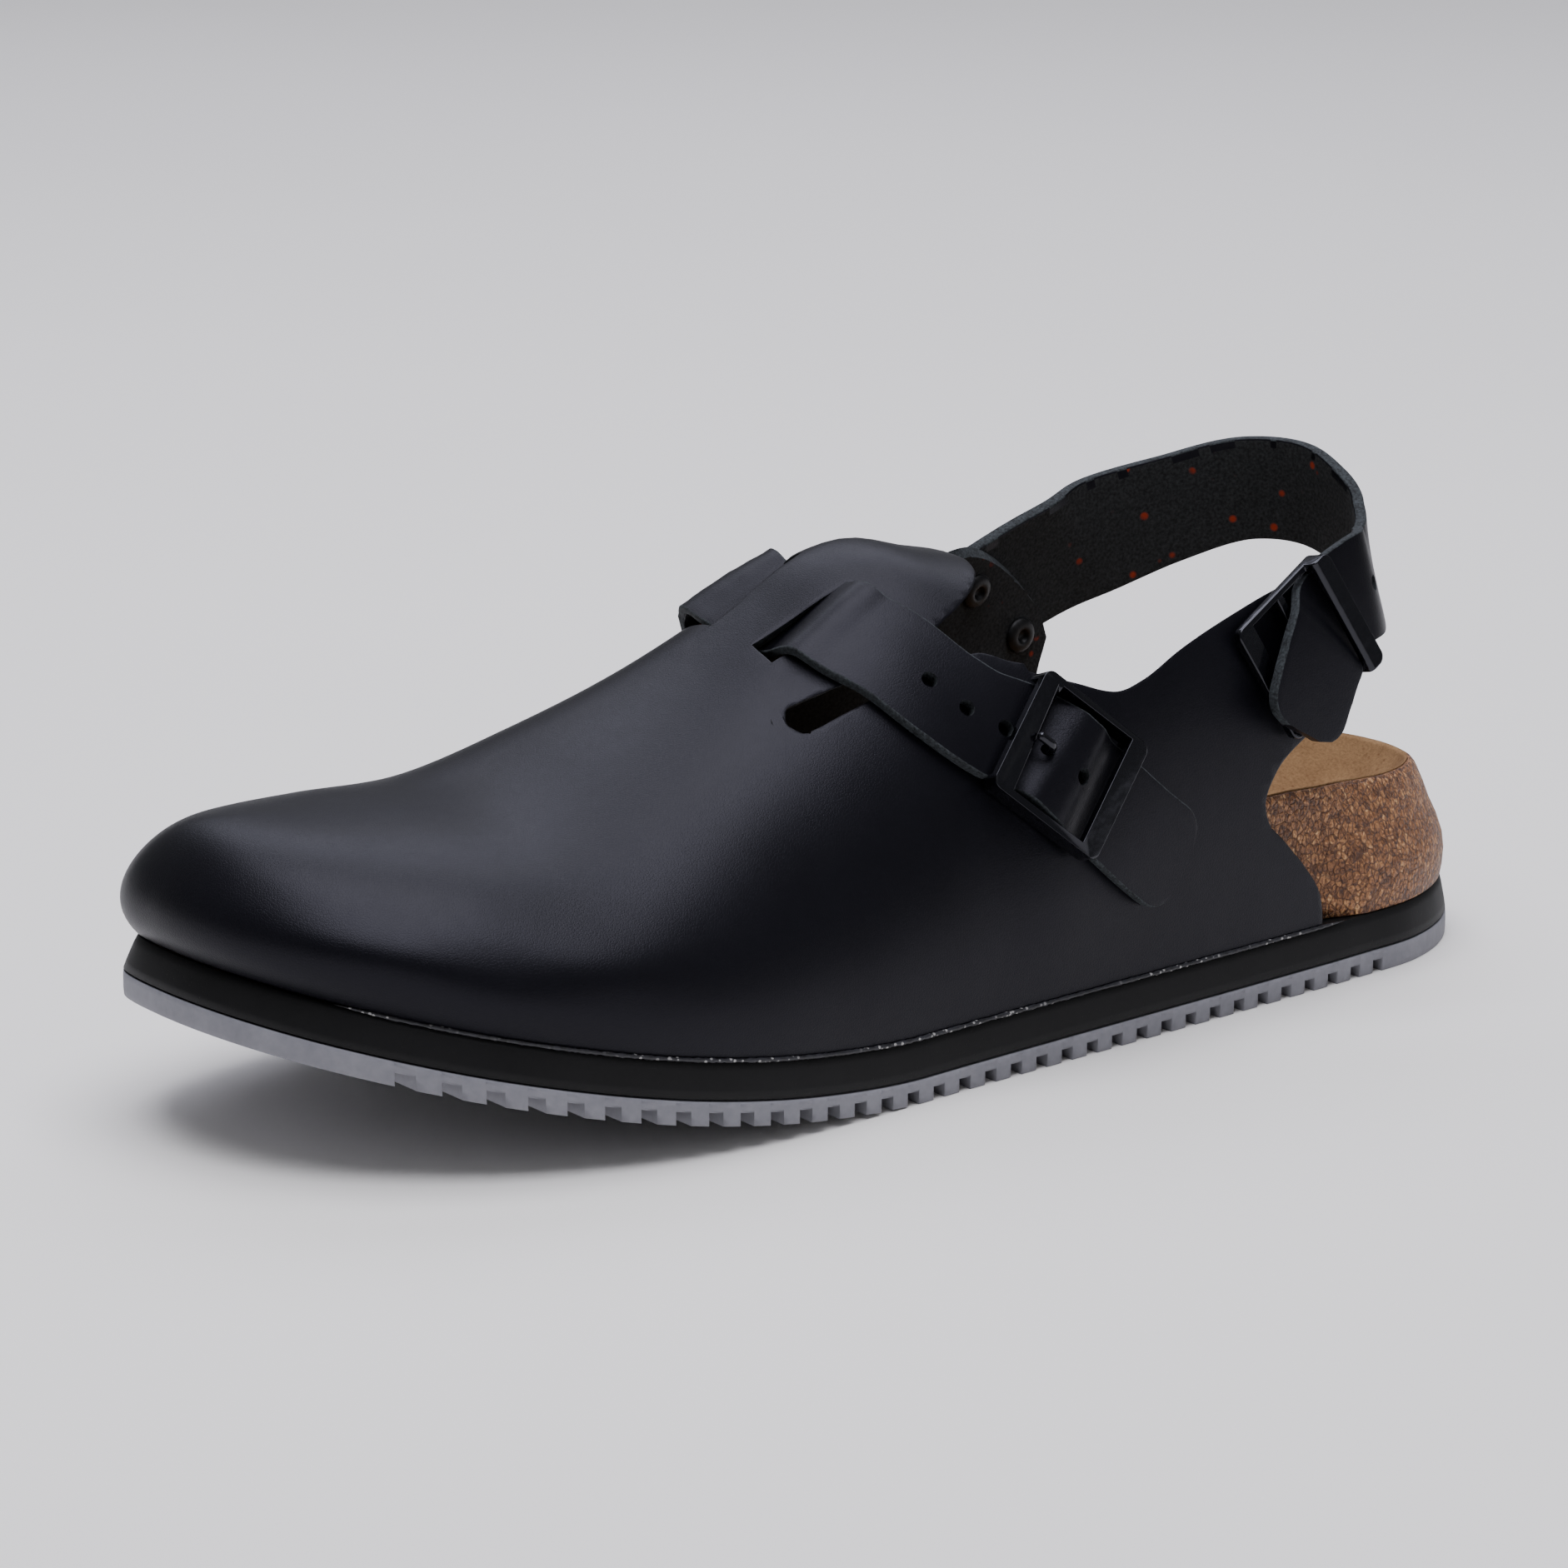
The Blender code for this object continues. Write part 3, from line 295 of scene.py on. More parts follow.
# %% [markdown]
# ## Cork, suede, foam, rubber and metal
# Cork board is pressed from granules of many browns, with dark gaps between them. Two sizes of cells
# give the granules, each cell one colour, and the distance to a cell's edge gives the gaps. The
# suede sock is a napped tan. Foam and rubber are nearly plain, but their moulded skin is never
# quite even. The buckles are lacquered, so they have a smooth coat.

# %% Sole and footbed finishes
GRANULE_SIZE = 0.00125


def cork_board():
    finish = Finish("cork_board")
    place = finish.stretched((1.0, 1.0, 0.75))
    grain = finish.cells(GRANULE_SIZE, output="Color", place=place)
    gaps = finish.cells(GRANULE_SIZE, "DISTANCE_TO_EDGE", place=place).between(0.0, 0.14)
    crumb = finish.cells(0.45 * GRANULE_SIZE, output="Color", place=place)
    broad = finish.noise(0.006, 2)
    chips = finish.noise(0.0006, 4)
    browns = [(0.14, paint(72, 42, 24)), (0.38, paint(124, 80, 48)), (0.6, paint(158, 108, 68)),
              (0.8, paint(192, 140, 92)), (0.95, paint(222, 178, 128))]
    colour = finish.ramp(grain * 0.52 + crumb * 0.34 + chips * 1.4 + broad * 0.16 - 0.71, browns)
    shaded = finish.mix(gaps * 0.7 + 0.3, paint(66, 36, 20), colour)
    lumps = finish.cells(GRANULE_SIZE, place=place)
    finish.relief(
        (broad, 0.0006), (1 - lumps, 0.0003), (gaps, 0.00012), (crumb, 0.00014), (chips, 0.0004)
    )
    return finish.set(Base_Color=shaded, Roughness=0.38 + crumb * 0.25, Specular_IOR_Level=0.5)


def suede_lining():
    finish = Finish("tan_suede")
    nap = finish.noise(0.0005, 5)
    patch = finish.noise(0.007, 3)
    specks = finish.cells(0.0016).between(0.30, 0.12) * finish.noise(0.010, 2).between(0.46, 0.62)
    colour = finish.tones(nap * 0.5 + patch * 0.5, (112, 82, 54), (156, 124, 88))
    colour = finish.mix(specks * 0.6, colour, paint(98, 62, 38))
    finish.relief((patch, 0.0002), (nap, 0.00010))
    return finish.set(Base_Color=colour, Roughness=0.95, Specular_IOR_Level=0.2)


def black_foam():
    finish = Finish("black_foam")
    skin_tone = finish.noise(0.012, 3)
    pits = finish.cells(0.0009).between(0.06, 0.2)
    colour = finish.tones(skin_tone, (8, 8, 9), (14, 14, 15))
    finish.relief((skin_tone, 0.00012), (pits, 0.00003))
    return finish.set(Base_Color=colour, Roughness=0.52 + skin_tone * 0.12, Specular_IOR_Level=0.25)


def grey_rubber():
    finish = Finish("grey_rubber")
    tone = finish.noise(0.018, 3)
    dust = finish.noise(0.0016, 4)
    colour = finish.tones(tone * 0.6 + dust * 0.4, (120, 120, 127), (142, 142, 149))
    finish.relief((tone, 0.0001), (dust, 0.00004))
    return finish.set(Base_Color=colour, Roughness=0.62 + dust * 0.12, Specular_IOR_Level=0.4)


def black_lacquer():
    finish = Finish("black_lacquer")
    ripple = finish.noise(0.0035, 2)
    dust = finish.noise(0.0005, 2)
    colour = finish.tones(ripple, (3, 3, 5), (6, 6, 8))
    finish.relief((ripple, 0.0001), (dust, 0.000002))
    finish.set(Coat_Roughness=0.05, Coat_IOR=1.5, Coat_Tint=(0.86, 0.88, 1.0, 1))
    finish.set(Specular_IOR_Level=0.3, Specular_Tint=(0.84, 0.86, 1.0, 1), Coat_Weight=0.35)
    return finish.set(Base_Color=colour, Roughness=0.14 + dust * 0.08)


def blackened_metal():
    finish = Finish("blackened_metal")
    wear = finish.noise(0.0008, 3)
    colour = finish.tones(wear, (8, 8, 9), (20, 20, 22), high=0.8)
    finish.relief((wear, 0.00005))
    return finish.set(Base_Color=colour, Roughness=0.38 + wear * 0.2, Specular_IOR_Level=0.3)


def glue_with_painted_highlight():
    finish = Finish("glue_with_painted_highlight")
    # Painted highlight: the whitish specks stand partly for the thin bright line where light catches
    # the midsole's top lip along the joint, and partly for specks of crazed dried glue.
    specks = finish.cells(0.0011).between(0.34, 0.22) * finish.noise(0.016, 2).between(0.44, 0.56)
    tone = finish.noise(0.0012, 2)
    film = finish.tones(tone, (22, 22, 25), (46, 46, 52))
    colour = finish.mix(specks, film, paint(168, 167, 165))
    finish.relief((tone, 0.0001))
    return finish.set(Base_Color=colour, Roughness=0.42 + tone * 0.1)


def pale_floor():
    finish = Finish("pale_floor")
    tone = finish.noise(0.4, 2)
    colour = finish.tones(tone, (246, 244, 240), (249, 247, 243))
    return finish.set(Base_Color=colour, Roughness=0.9, Specular_IOR_Level=0.1)


CORK, SUEDE, FOAM, RUBBER = cork_board(), suede_lining(), black_foam(), grey_rubber()
LACQUER, BLACKENED, GLUE_WITH_HIGHLIGHT = black_lacquer(), blackened_metal(), glue_with_painted_highlight()

# %% [markdown]
# ## Curves from short tables
# The shoe's outlines are short tables of shares of named sizes, the same ones that its solids were
# made from. A cubic through the rows reads them smoothly anywhere, so the fine meshes here follow
# the same surfaces as the coarser solids.

# %% Named sizes
LENGTH = 0.2865
HEEL_WIDTH = 0.0682
WAIST_WIDTH = 0.0778
BALL_WIDTH = 0.1018
OUTSOLE = 0.0046
MIDSOLE = 0.0070
TOE_SPRING = 0.0245
TREAD_DEPTH = 0.0025
TREAD_PITCH = 0.00665
TREAD_GROOVE = 0.0030
INSTEP_HEIGHT = 0.0940
EAR_HEIGHT = 0.0850
HEEL_RIM = 0.0265
WALL = 0.0023
CLEARANCE = 0.0003
STRAP_WIDTH = 0.0208
STRAP_THICKNESS = 0.0023
LINING = 0.0010
BAR_WIDTH = 0.0046
BAR_THICKNESS = 0.0019
SIDE_BAR = 0.0014
BUCKLE_LENGTH = 0.0268
BUCKLE_PLAY = 0.0011
PRONG_RADIUS = 0.0009
HOLE_RADIUS = 0.0016
HOLE_PITCH = 0.0085
RIVET_HEAD = 0.0036
RIVET_SHANK = 0.0013

# %% Reading tables


def rows_of(kind, numbers):
    """A table whose rows have named columns."""
    return [kind(*row) for row in numbers]


def smoothstep(value):
    value = min(max(value, 0.0), 1.0)
    return value * value * (3 - 2 * value)


def hermite(xs, ys, slopes, x):
    """Cubic through the points xs, ys with the given slopes, at x."""
    x = min(max(x, xs[0]), xs[-1])
    i = min(max(int(np.searchsorted(xs, x, "right")) - 1, 0), len(xs) - 2)
    step = xs[i + 1] - xs[i]
    s = (x - xs[i]) / step
    start = (2 * s**3 - 3 * s**2 + 1) * ys[i] + (s**3 - 2 * s**2 + s) * step * slopes[i]
    end = (3 * s**2 - 2 * s**3) * ys[i + 1] + (s**3 - s**2) * step * slopes[i + 1]
    return start + end


def column(rows, name, x):
    """One column of a table, read smoothly at x along the shoe."""
    xs = np.array([row.along for row in rows])
    ys = np.array([getattr(row, name) for row in rows], float)
    return float(hermite(xs, ys, np.gradient(ys, xs), x))


def path_travel(points):
    """Distances along a row of points; values after a point's third one don't count."""
    steps = np.linalg.norm(np.diff(np.array(points, float)[:, :3], axis=0), axis=1)
    return np.concatenate([[0], np.cumsum(steps)])


def curve(points, count):
    """An open smooth curve through points and any values they carry, read at even steps."""
    points = np.array(points, float)
    chord = path_travel(points)
    slopes = np.gradient(points, chord, axis=0)
    steps = np.linspace(0, chord[-1], count)
    return np.array([hermite(chord, points, slopes, step) for step in steps])


def placed(x, distance, z):
    """A point of the shoe from its distance to the back of the heel."""
    return Vector((x, LENGTH / 2 - distance, z))


# %% [markdown]
# ## The sole's outline
# Sole, cork and leather all stand on one outline, seen from above: narrow round heel, slim waist,
# and a ball that leans to the inner side towards the toe.

# %% Outline
Edge = namedtuple("Edge", "along width lateral medial")
OUTLINE = rows_of(Edge, [
    (0.014, HEEL_WIDTH, 0.225, 0.225),
    (0.046, HEEL_WIDTH, 0.361, 0.364),
    (0.088, HEEL_WIDTH, 0.454, 0.456),
    (0.148, HEEL_WIDTH, 0.500, 0.500),
    (0.229, WAIST_WIDTH, 0.477, 0.445),
    (0.324, WAIST_WIDTH, 0.518, 0.427),
    (0.430, WAIST_WIDTH, 0.563, 0.437),
    (0.529, BALL_WIDTH, 0.463, 0.381),
    (0.617, BALL_WIDTH, 0.496, 0.437),
    (0.689, BALL_WIDTH, 0.514, 0.478),
    (0.756, BALL_WIDTH, 0.507, 0.499),
    (0.819, BALL_WIDTH, 0.470, 0.497),
    (0.878, BALL_WIDTH, 0.406, 0.475),
    (0.925, BALL_WIDTH, 0.318, 0.437),
    (0.965, BALL_WIDTH, 0.200, 0.374),
    (0.991, BALL_WIDTH, 0.052, 0.278),
])
TOE_TIP = -0.118
SPRING_FROM = 0.56
SPRING_POWER = 1.57
SOLE_TAPER = 0.0014
TOE_TAPER = 0.0014
TOE_TAPER_FROM = 0.75


def sole_outline(count=1600):
    """The closed outline of the sole as (x, distance from the heel)."""
    lateral = [(row.width * row.lateral, LENGTH * row.along) for row in OUTLINE]
    medial = [(-row.width * row.medial, LENGTH * row.along) for row in OUTLINE]
    points = [(0.0, 0.0)] + lateral + [(BALL_WIDTH * TOE_TIP, LENGTH)] + medial[::-1]
    loop = curve(points[-4:] + points + points[:5], count)
    gap = np.linalg.norm(loop - points[0], axis=1)
    middle = len(loop) // 2
    return loop[int(np.argmin(gap[:middle])):middle + int(np.argmin(gap[middle:]))]


LOOP = sole_outline()


@lru_cache(maxsize=None)
def side_outline(side, inset):
    """One side of the outline moved in by inset, from heel to toe, with its outward normals."""
    along = np.roll(LOOP, -1, 0) - np.roll(LOOP, 1, 0)
    along /= np.linalg.norm(along, axis=1)[:, None]
    outward = np.stack([along[:, 1], -along[:, 0]], -1)
    points = LOOP - outward * inset
    heel, toe = int(np.argmin(points[:, 1])), int(np.argmax(points[:, 1]))
    order = np.arange(heel, heel + len(points)) % len(points)
    turn = int(np.where(order == toe)[0][0])
    chosen = order[:turn + 1] if side > 0 else np.append(order[turn:], heel)[::-1]
    return points[chosen], outward[chosen]


def edge(side, share, inset):
    """Point (x, distance) and outward normal on the outline moved in by inset."""
    points, normals = side_outline(side, round(inset, 5))
    distance = points[0, 1] + (points[-1, 1] - points[0, 1]) * share
    point = np.array([np.interp(distance, points[:, 1], points[:, 0]), distance])
    normal = np.array([np.interp(distance, points[:, 1], normals[:, k]) for k in (0, 1)])
    return point, normal / np.linalg.norm(normal)


def spring(distance):
    """How far the toe spring lifts the sole at that distance from the heel."""
    run = max((distance / LENGTH - SPRING_FROM) / (1 - SPRING_FROM), 0.0)
    return TOE_SPRING * run**SPRING_POWER


def sole_top(distance):
    return OUTSOLE + CLEARANCE + MIDSOLE + spring(distance)


def taper(share):
    """How far the top of the midsole stands in from the outline."""
    return SOLE_TAPER + TOE_TAPER * smoothstep((share - TOE_TAPER_FROM) / (1 - TOE_TAPER_FROM))


print("outline", len(LOOP), "points, sole", round(1000 * LENGTH, 1), "mm long")

# %% [markdown]
# ## The last
# The upper is leather pulled over a last, the wooden foot that gives the shoe its form. Each section
# stands on the sole's edge and arches to a ridge; a superellipse gives each arch its own fullness.
# At the toe the sections fan out, so that the toe cap closes like a dome.

# %% The last's surface
Ridge = namedtuple("Ridge", "along height shift lateral medial bulge")
RIDGE = rows_of(Ridge, [
    (0.00, 1.200, 0.000, 2.4, 2.4, 0.000),
    (0.14, 1.170, 0.000, 2.5, 3.0, 0.000),
    (0.28, 1.030, -0.020, 2.75, 3.8, 0.000),
    (0.38, 0.925, -0.040, 2.95, 3.3, 0.003),
    (0.43, 0.952, -0.052, 2.40, 2.45, 0.008),
    (0.48, 0.985, -0.065, 2.0, 2.1, 0.010),
    (0.52, 0.955, -0.075, 1.95, 2.05, 0.015),
    (0.56, 0.885, -0.085, 2.0, 2.1, 0.015),
    (0.62, 0.787, -0.100, 2.1, 2.2, 0.015),
    (0.70, 0.690, -0.110, 2.2, 2.3, 0.020),
    (0.78, 0.612, -0.120, 2.4, 2.5, 0.025),
    (0.85, 0.610, -0.120, 2.6, 2.7, 0.030),
    (0.93, 0.618, -0.120, 2.8, 2.8, 0.032),
])
FAN_FROM = 0.66
FAN_TO = 0.93
RISE_SPREAD = 0.9
SWELL_SCALE = 27 / 4
CORE_HEIGHT = 0.3 * INSTEP_HEIGHT


def ridge_share(share):
    """Where on the ridge the section that stands on the sole at share ends."""
    if share <= FAN_FROM:
        return share
    rest = 1 - FAN_FROM
    run = (share - FAN_FROM) / rest
    return FAN_FROM + rest * run - (1 - FAN_TO) * run * run


@lru_cache(maxsize=None)
def section(side, share):
    """What one half of a section is made from."""
    foot, outward = edge(side, share, taper(share))
    top = ridge_share(share)
    ridge = np.array([column(RIDGE, "shift", top) * BALL_WIDTH, top * LENGTH])
    power = column(RIDGE, "lateral" if side > 0 else "medial", top)
    bulge = column(RIDGE, "bulge", top) * BALL_WIDTH
    base = sole_top(foot[1]) + CLEARANCE
    crown = column(RIDGE, "height", top) * INSTEP_HEIGHT
    return foot, outward, ridge, power, bulge, base, crown


def last_point(side, share, rise):
    """A point on the outside of the upper; rise is 0 at the sole and 1 at the ridge.

    rise * (1 - rise)**2 is 4/27 where it is largest, so with SWELL_SCALE the swell's peak is bulge.
    """
    foot, outward, ridge, power, bulge, base, crown = section(side, share)
    swell = bulge * SWELL_SCALE * rise * (1 - rise) ** 2
    reach = (1 - min(rise, 1.0) ** power) ** (1 / power)
    x, distance = ridge + (foot - ridge) * reach + outward * swell
    return placed(x, distance, base + (crown - base) * rise)


def side_and_rise(across):
    """Where on a section: across is 0 at the inner foot, 0.5 on the ridge, 1 at the outer foot."""
    turn = 2 * min(across, 1 - across)
    return -1 if across < 0.5 else 1, math.sin(math.pi / 2 * turn) ** RISE_SPREAD


def over_last(across, share):
    side, rise = side_and_rise(across)
    return last_point(side, share, rise)


def from_core(point):
    """The way from the middle of the hollow to a point, which is roughly outwards."""
    return point - Vector((0, point.y, CORE_HEIGHT))


# %% [markdown]
# ## From grid to piece
# Nearly every piece of this shoe is a surface with two directions: across and along. A bmesh grid
# gives the quads, and a function moves each of its points to its place. A ring closes when the
# grid's two sides meet and their points are merged. Each point remembers its place on the grid, and
# the straps choose their finishes by the first of the two numbers.

# %% Grid, solid and cutter helpers


def grid(columns, rows, place):
    """A bmesh grid whose points are moved to place(across, along), both from 0 to 1."""
    shape = bmesh.new()
    across = shape.verts.layers.float.new("across")
    along = shape.verts.layers.float.new("along")
    bmesh.ops.create_grid(shape, x_segments=columns, y_segments=rows, size=0.5)
    for vert in shape.verts:
        vert[across] = min(max(vert.co.x + 0.5, 0.0), 1.0)
        vert[along] = min(max(vert.co.y + 0.5, 0.0), 1.0)
        vert.co = place(vert[across], vert[along])
    return shape


def close(shape, reach=1e-6):
    """Merge what meets, fill the open ends and turn every face outwards."""
    bmesh.ops.remove_doubles(shape, verts=shape.verts, dist=reach)
    bmesh.ops.holes_fill(shape, edges=[e for e in shape.edges if e.is_boundary], sides=0)
    bmesh.ops.recalc_face_normals(shape, faces=shape.faces)
    return shape


def mesh_object(name, shape, finishes):
    """A mesh object of the shape, linked to the scene."""
    mesh = bpy.data.meshes.new(name)
    shape.to_mesh(mesh)
    shape.free()
    for finish in finishes:
        mesh.materials.append(finish)
    made = bpy.data.objects.new(name, mesh)
    bpy.context.scene.collection.objects.link(made)
    return made


def piece(name, shape, finishes, replaces=()):
    """A smooth mesh object that rides on the shoe and stands for its solids."""
    made = mesh_object(name, shape, finishes)
    made.data.shade_smooth()
    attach(made, "root")
    if replaces:
        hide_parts(*replaces)
    return made


def blade(name, outline, travel, finish):
    """A closed cutter: a flat outline, extruded along travel."""
    shape = bmesh.new()
    face = shape.faces.new([shape.verts.new(point) for point in outline])
    grown = bmesh.ops.extrude_face_region(shape, geom=[face])["geom"]
    moved = [part for part in grown if isinstance(part, bmesh.types.BMVert)]
    bmesh.ops.translate(shape, vec=travel, verts=moved)
    bmesh.ops.triangulate(shape, faces=[f for f in shape.faces if len(f.verts) > 4])
    bmesh.ops.recalc_face_normals(shape, faces=shape.faces)
    return mesh_object(name, shape, [finish])


def settle(target):
    """Apply the modifiers of an object to its mesh."""
    bpy.context.view_layer.update()
    evaluated = target.evaluated_get(bpy.context.evaluated_depsgraph_get())
    mesh = bpy.data.meshes.new_from_object(evaluated)
    target.modifiers.clear()
    old, target.data = target.data, mesh
    bpy.data.meshes.remove(old)


def carve(target, *tools):
    """Cut tools out of a piece; the new faces take the tool's finish."""
    for tool in tools:
        change = target.modifiers.new("cut", "BOOLEAN")
        change.object = tool
        change.operation = "DIFFERENCE"
        change.solver = "EXACT"
        change.material_mode = "TRANSFER"
        settle(target)
        bpy.data.objects.remove(tool)


def crisp(target, degrees=50):
    """Keep flat faces flat in the shading: sharp edges stay sharp, the others are smoothed."""
    target.data.set_sharp_from_angle(angle=math.radians(degrees))
    target.modifiers.new("weights", "WEIGHTED_NORMAL").keep_sharp = True
    return target


def triangles(thing):
    return sum(len(face.vertices) - 2 for face in thing.data.polygons)


# %% [markdown]
# ## Outsole and midsole
# Both are cut to the outline and bent up at the toe. Each is one loop of grid wound round the sole's
# section, from heel to toe. The outsole's underside steps in at each groove, as it does in moulding.

# %% Midsole
SOLE_ROWS = 150
MIDSOLE_ROUND = 0.0004


def end_share(along):
    """Shares of the length, closer together at the heel and the toe."""
    return (1 - math.cos(math.pi * along)) / 2


def solid_band(name, rings, finishes, replaces):
    """A closed solid wound from rings of equal length, from heel to toe."""
    count = len(rings[0])
    rows = len(rings) - 1
    shape = grid(count, rows, lambda a, b: rings[round(b * rows)][round(a * count) % count])
    return piece(name, close(shape), finishes, replaces)


def cross_ring(levels, share, columns=16):
    """One ring round a solid: up the outer side, over, down the inner side and back below."""
    sides = {}
    for side in (1, -1):
        sides[side] = []
        for inset, height in levels:
            x, distance = edge(side, share, inset)[0]
            sides[side].append(placed(x, distance, height + spring(distance)))
    over = [sides[1][-1].lerp(sides[-1][-1], k / columns) for k in range(1, columns)]
    below = [sides[-1][0].lerp(sides[1][0], k / columns) for k in range(1, columns)]
    return sides[1] + over + sides[-1][::-1] + below


def rounded(low, high, inset_low, inset_high, radius):
    """Insets and heights up a moulded side with its two corners rounded."""
    span = high - low
    levels = [(inset_low + radius, low), (inset_low + 0.3 * radius, low + 0.3 * radius)]
    for share in (0.25, 0.5, 0.75):
        levels.append((inset_low + (inset_high - inset_low) * share, low + span * share))
    levels += [(inset_high + 0.3 * radius, high - 0.3 * radius), (inset_high + radius, high)]
    return levels


def midsole():
    low = OUTSOLE + CLEARANCE
    rings = []
    for k in range(SOLE_ROWS + 1):
        share = end_share(k / SOLE_ROWS)
        levels = rounded(low, low + MIDSOLE, 0.0, taper(share), MIDSOLE_ROUND)
        rings.append(cross_ring(levels, share))
    return solid_band("midsole_foam", rings, [FOAM], ["midsole"])


print("midsole", triangles(midsole()))

# %% Outsole with its grooves
TREAD_FROM = 0.126
TREAD_TO = 0.942
OUTSOLE_ROUND = 0.0003


def tread_steps():
    """Shares along the outsole with the height of its underside, stepping at each groove."""
    plain = [end_share(k / SOLE_ROWS) for k in range(SOLE_ROWS + 1)]
    steps = [(share, 0.0) for share in plain if not TREAD_FROM <= share <= TREAD_TO]
    for k in range(int((TREAD_TO - TREAD_FROM) * LENGTH / TREAD_PITCH)):
        start = TREAD_FROM + k * TREAD_PITCH / LENGTH
        end = start + TREAD_GROOVE / LENGTH
        steps += [(start, 0.0), (start + 1e-5, TREAD_DEPTH), (end, TREAD_DEPTH), (end + 1e-5, 0.0)]
        steps.append(((end + start + TREAD_PITCH / LENGTH) / 2, 0.0))
    return sorted(steps)


def outsole():
    rings = []
    for share, low in tread_steps():
        levels = rounded(low, OUTSOLE, 0.0, 0.0, OUTSOLE_ROUND)
        rings.append(cross_ring(levels, share))
    return solid_band("outsole_rubber", rings, [RUBBER], ["outsole"])


print("outsole", triangles(outsole()))

# %% [markdown]
# ## Cork footbed and suede sock
# The cork is moulded to the foot: a cup at the heel, a raised arch on the inner side, a low rim
# round the toes. At the heel its side is bare and bulges; further on it is tucked inside the leather.

# %% Footbed
Bed = namedtuple("Bed", "along lateral_rim medial_rim floor")
BED = rows_of(Bed, [
    (0.00, 0.865, 0.865, 0.46),
    (0.12, 0.940, 0.950, 0.40),
    (0.22, 1.000, 1.040, 0.41),
    (0.32, 0.860, 1.000, 0.44),
    (0.42, 0.660, 0.860, 0.42),
    (0.52, 0.480, 0.600, 0.34),
    (0.62, 0.370, 0.420, 0.27),
    (0.75, 0.310, 0.330, 0.21),
    (0.88, 0.300, 0.310, 0.20),
    (1.00, 0.330, 0.330, 0.24),
])
CORK_BULGE = 0.0010
CORK_LEAN = 0.0060
CORK_DRAFT = 0.35 * WALL
COVER_FROM = 0.135
COVER_RUN = 0.035
BED_MIDDLE_FROM = 0.11
BED_MIDDLE_RUN = 0.78
BED_WIDTH = 0.965
BED_CURVE = 3.2


def bed_rim(side, share):
    return column(BED, "lateral_rim" if side > 0 else "medial_rim", share) * HEEL_RIM


def cork_side(side, share, level):
    """A point on the cork's side; level is 0 at the sole and 1 at the rim."""
    height = level * bed_rim(side, share)
    foot, outward, _, _, _, base, crown = section(side, share)
    inside = last_point(side, share, height / (crown - base))
    covered = smoothstep((share - COVER_FROM) / COVER_RUN)
    bare = CORK_LEAN * level**2 - CORK_BULGE * math.sin(math.pi * min(level * 1.6, 1))
    tucked = WALL + 3 * CLEARANCE + CORK_DRAFT * level
    inset = bare + (tucked - bare) * covered
    start = placed(*foot, 0).xy.lerp(inside.xy, covered)
    return Vector((*(start - Vector((outward[0], -outward[1])) * inset), base + height))


def bed_point(side, share, reach, lift=0.0):
    """A point on the footbed's top; reach is 1 at the rim and 0 on the middle line."""
    rim = cork_side(side, share, 1.0)
    middle_share = BED_MIDDLE_FROM + BED_MIDDLE_RUN * share
    middle = placed(column(RIDGE, "shift", middle_share) * BALL_WIDTH, middle_share * LENGTH, 0)
    flat = middle.xy.lerp(rim.xy, BED_WIDTH * reach)
    distance = LENGTH / 2 - flat[1]
    floor = sole_top(distance) + column(BED, "floor", distance / LENGTH) * HEEL_RIM
    return Vector((*flat, floor + (rim.z - floor) * reach**BED_CURVE + lift))


BED_ROUND = 150
BED_WELD = 2e-6
SOCK_GAP = 0.3 * CLEARANCE


def round_bed(around):
    """The side and the share at a place round the footbed."""
    side = 1 if around <= 0.5 else -1
    return side, end_share(2 * min(around, 1 - around))


def rings_to_solid(name, rings, finishes, replaces):
    """A closed solid wound round the shoe; its first and last rings close on themselves."""
    rows = len(rings) - 1

    def place(around, along):
        turn = round(around * BED_ROUND) % BED_ROUND / BED_ROUND
        return rings[round(along * rows)](*round_bed(turn))

    shape = close(grid(BED_ROUND, rows, place), BED_WELD)
    return piece(name, shape, finishes, replaces)


def cork():
    def underside(side, share):
        return cork_side(side, share, 0.0).lerp(cork_side(-side, share, 0.0), 0.5)

    def rim(side, share):
        return cork_side(side, share, 1.0).lerp(bed_point(side, share, 1.0), 0.3)

    rings = [underside]
    for level in (0.0, 0.1, 0.22, 0.36, 0.5, 0.64, 0.78, 0.9, 0.96):
        rings.append(lambda side, share, level=level: cork_side(side, share, level))
    rings.append(rim)
    for reach in (1.0, 0.97, 0.93, 0.86, 0.76, 0.64, 0.5, 0.34, 0.17, 0.0):
        rings.append(lambda side, share, reach=reach: bed_point(side, share, reach))
    return rings_to_solid("footbed_cork", rings, [CORK], ["footbed"])


def sock():
    reaches = (0.0, 0.17, 0.34, 0.5, 0.64, 0.76, 0.86, 0.93, 0.97, 0.996)
    rings = []
    for reach in reaches:
        rings.append(lambda side, share, reach=reach: bed_point(side, share, reach, SOCK_GAP))
    for reach in reversed(reaches):
        top = CLEARANCE + LINING * min(1.0, 4 * (1 - reach) + 0.25)
        rings.append(lambda side, share, reach=reach, top=top: bed_point(side, share, reach, top))
    return rings_to_solid("sock_suede", rings, [SUEDE], ["insole"])


print("footbed", triangles(cork()), "sock", triangles(sock()))

# %% [markdown]
# ## The upper
# The upper starts as a grid over the whole last, made thick so that flat outlines can cut away the
# throat, the collar and the slots. A knife cuts leather square to its face, but a flat outline cuts
# it aslant. So only the outer face of the cut hide is kept, its border is set in a little to round
# the edge, and a Solidify modifier grows the hide's real thickness inwards from it. The grid also
# carries the soft creases that the leather keeps from lasting and wear.

# %% The hide over the last
UPPER_BACK = 0.105
UPPER_COLUMNS = 88
UPPER_ROWS = 120
EDGE_ROUND = 0.0004
EDGE_DROP = 0.5 * EDGE_ROUND
SLIVER = 0.2 * EDGE_ROUND

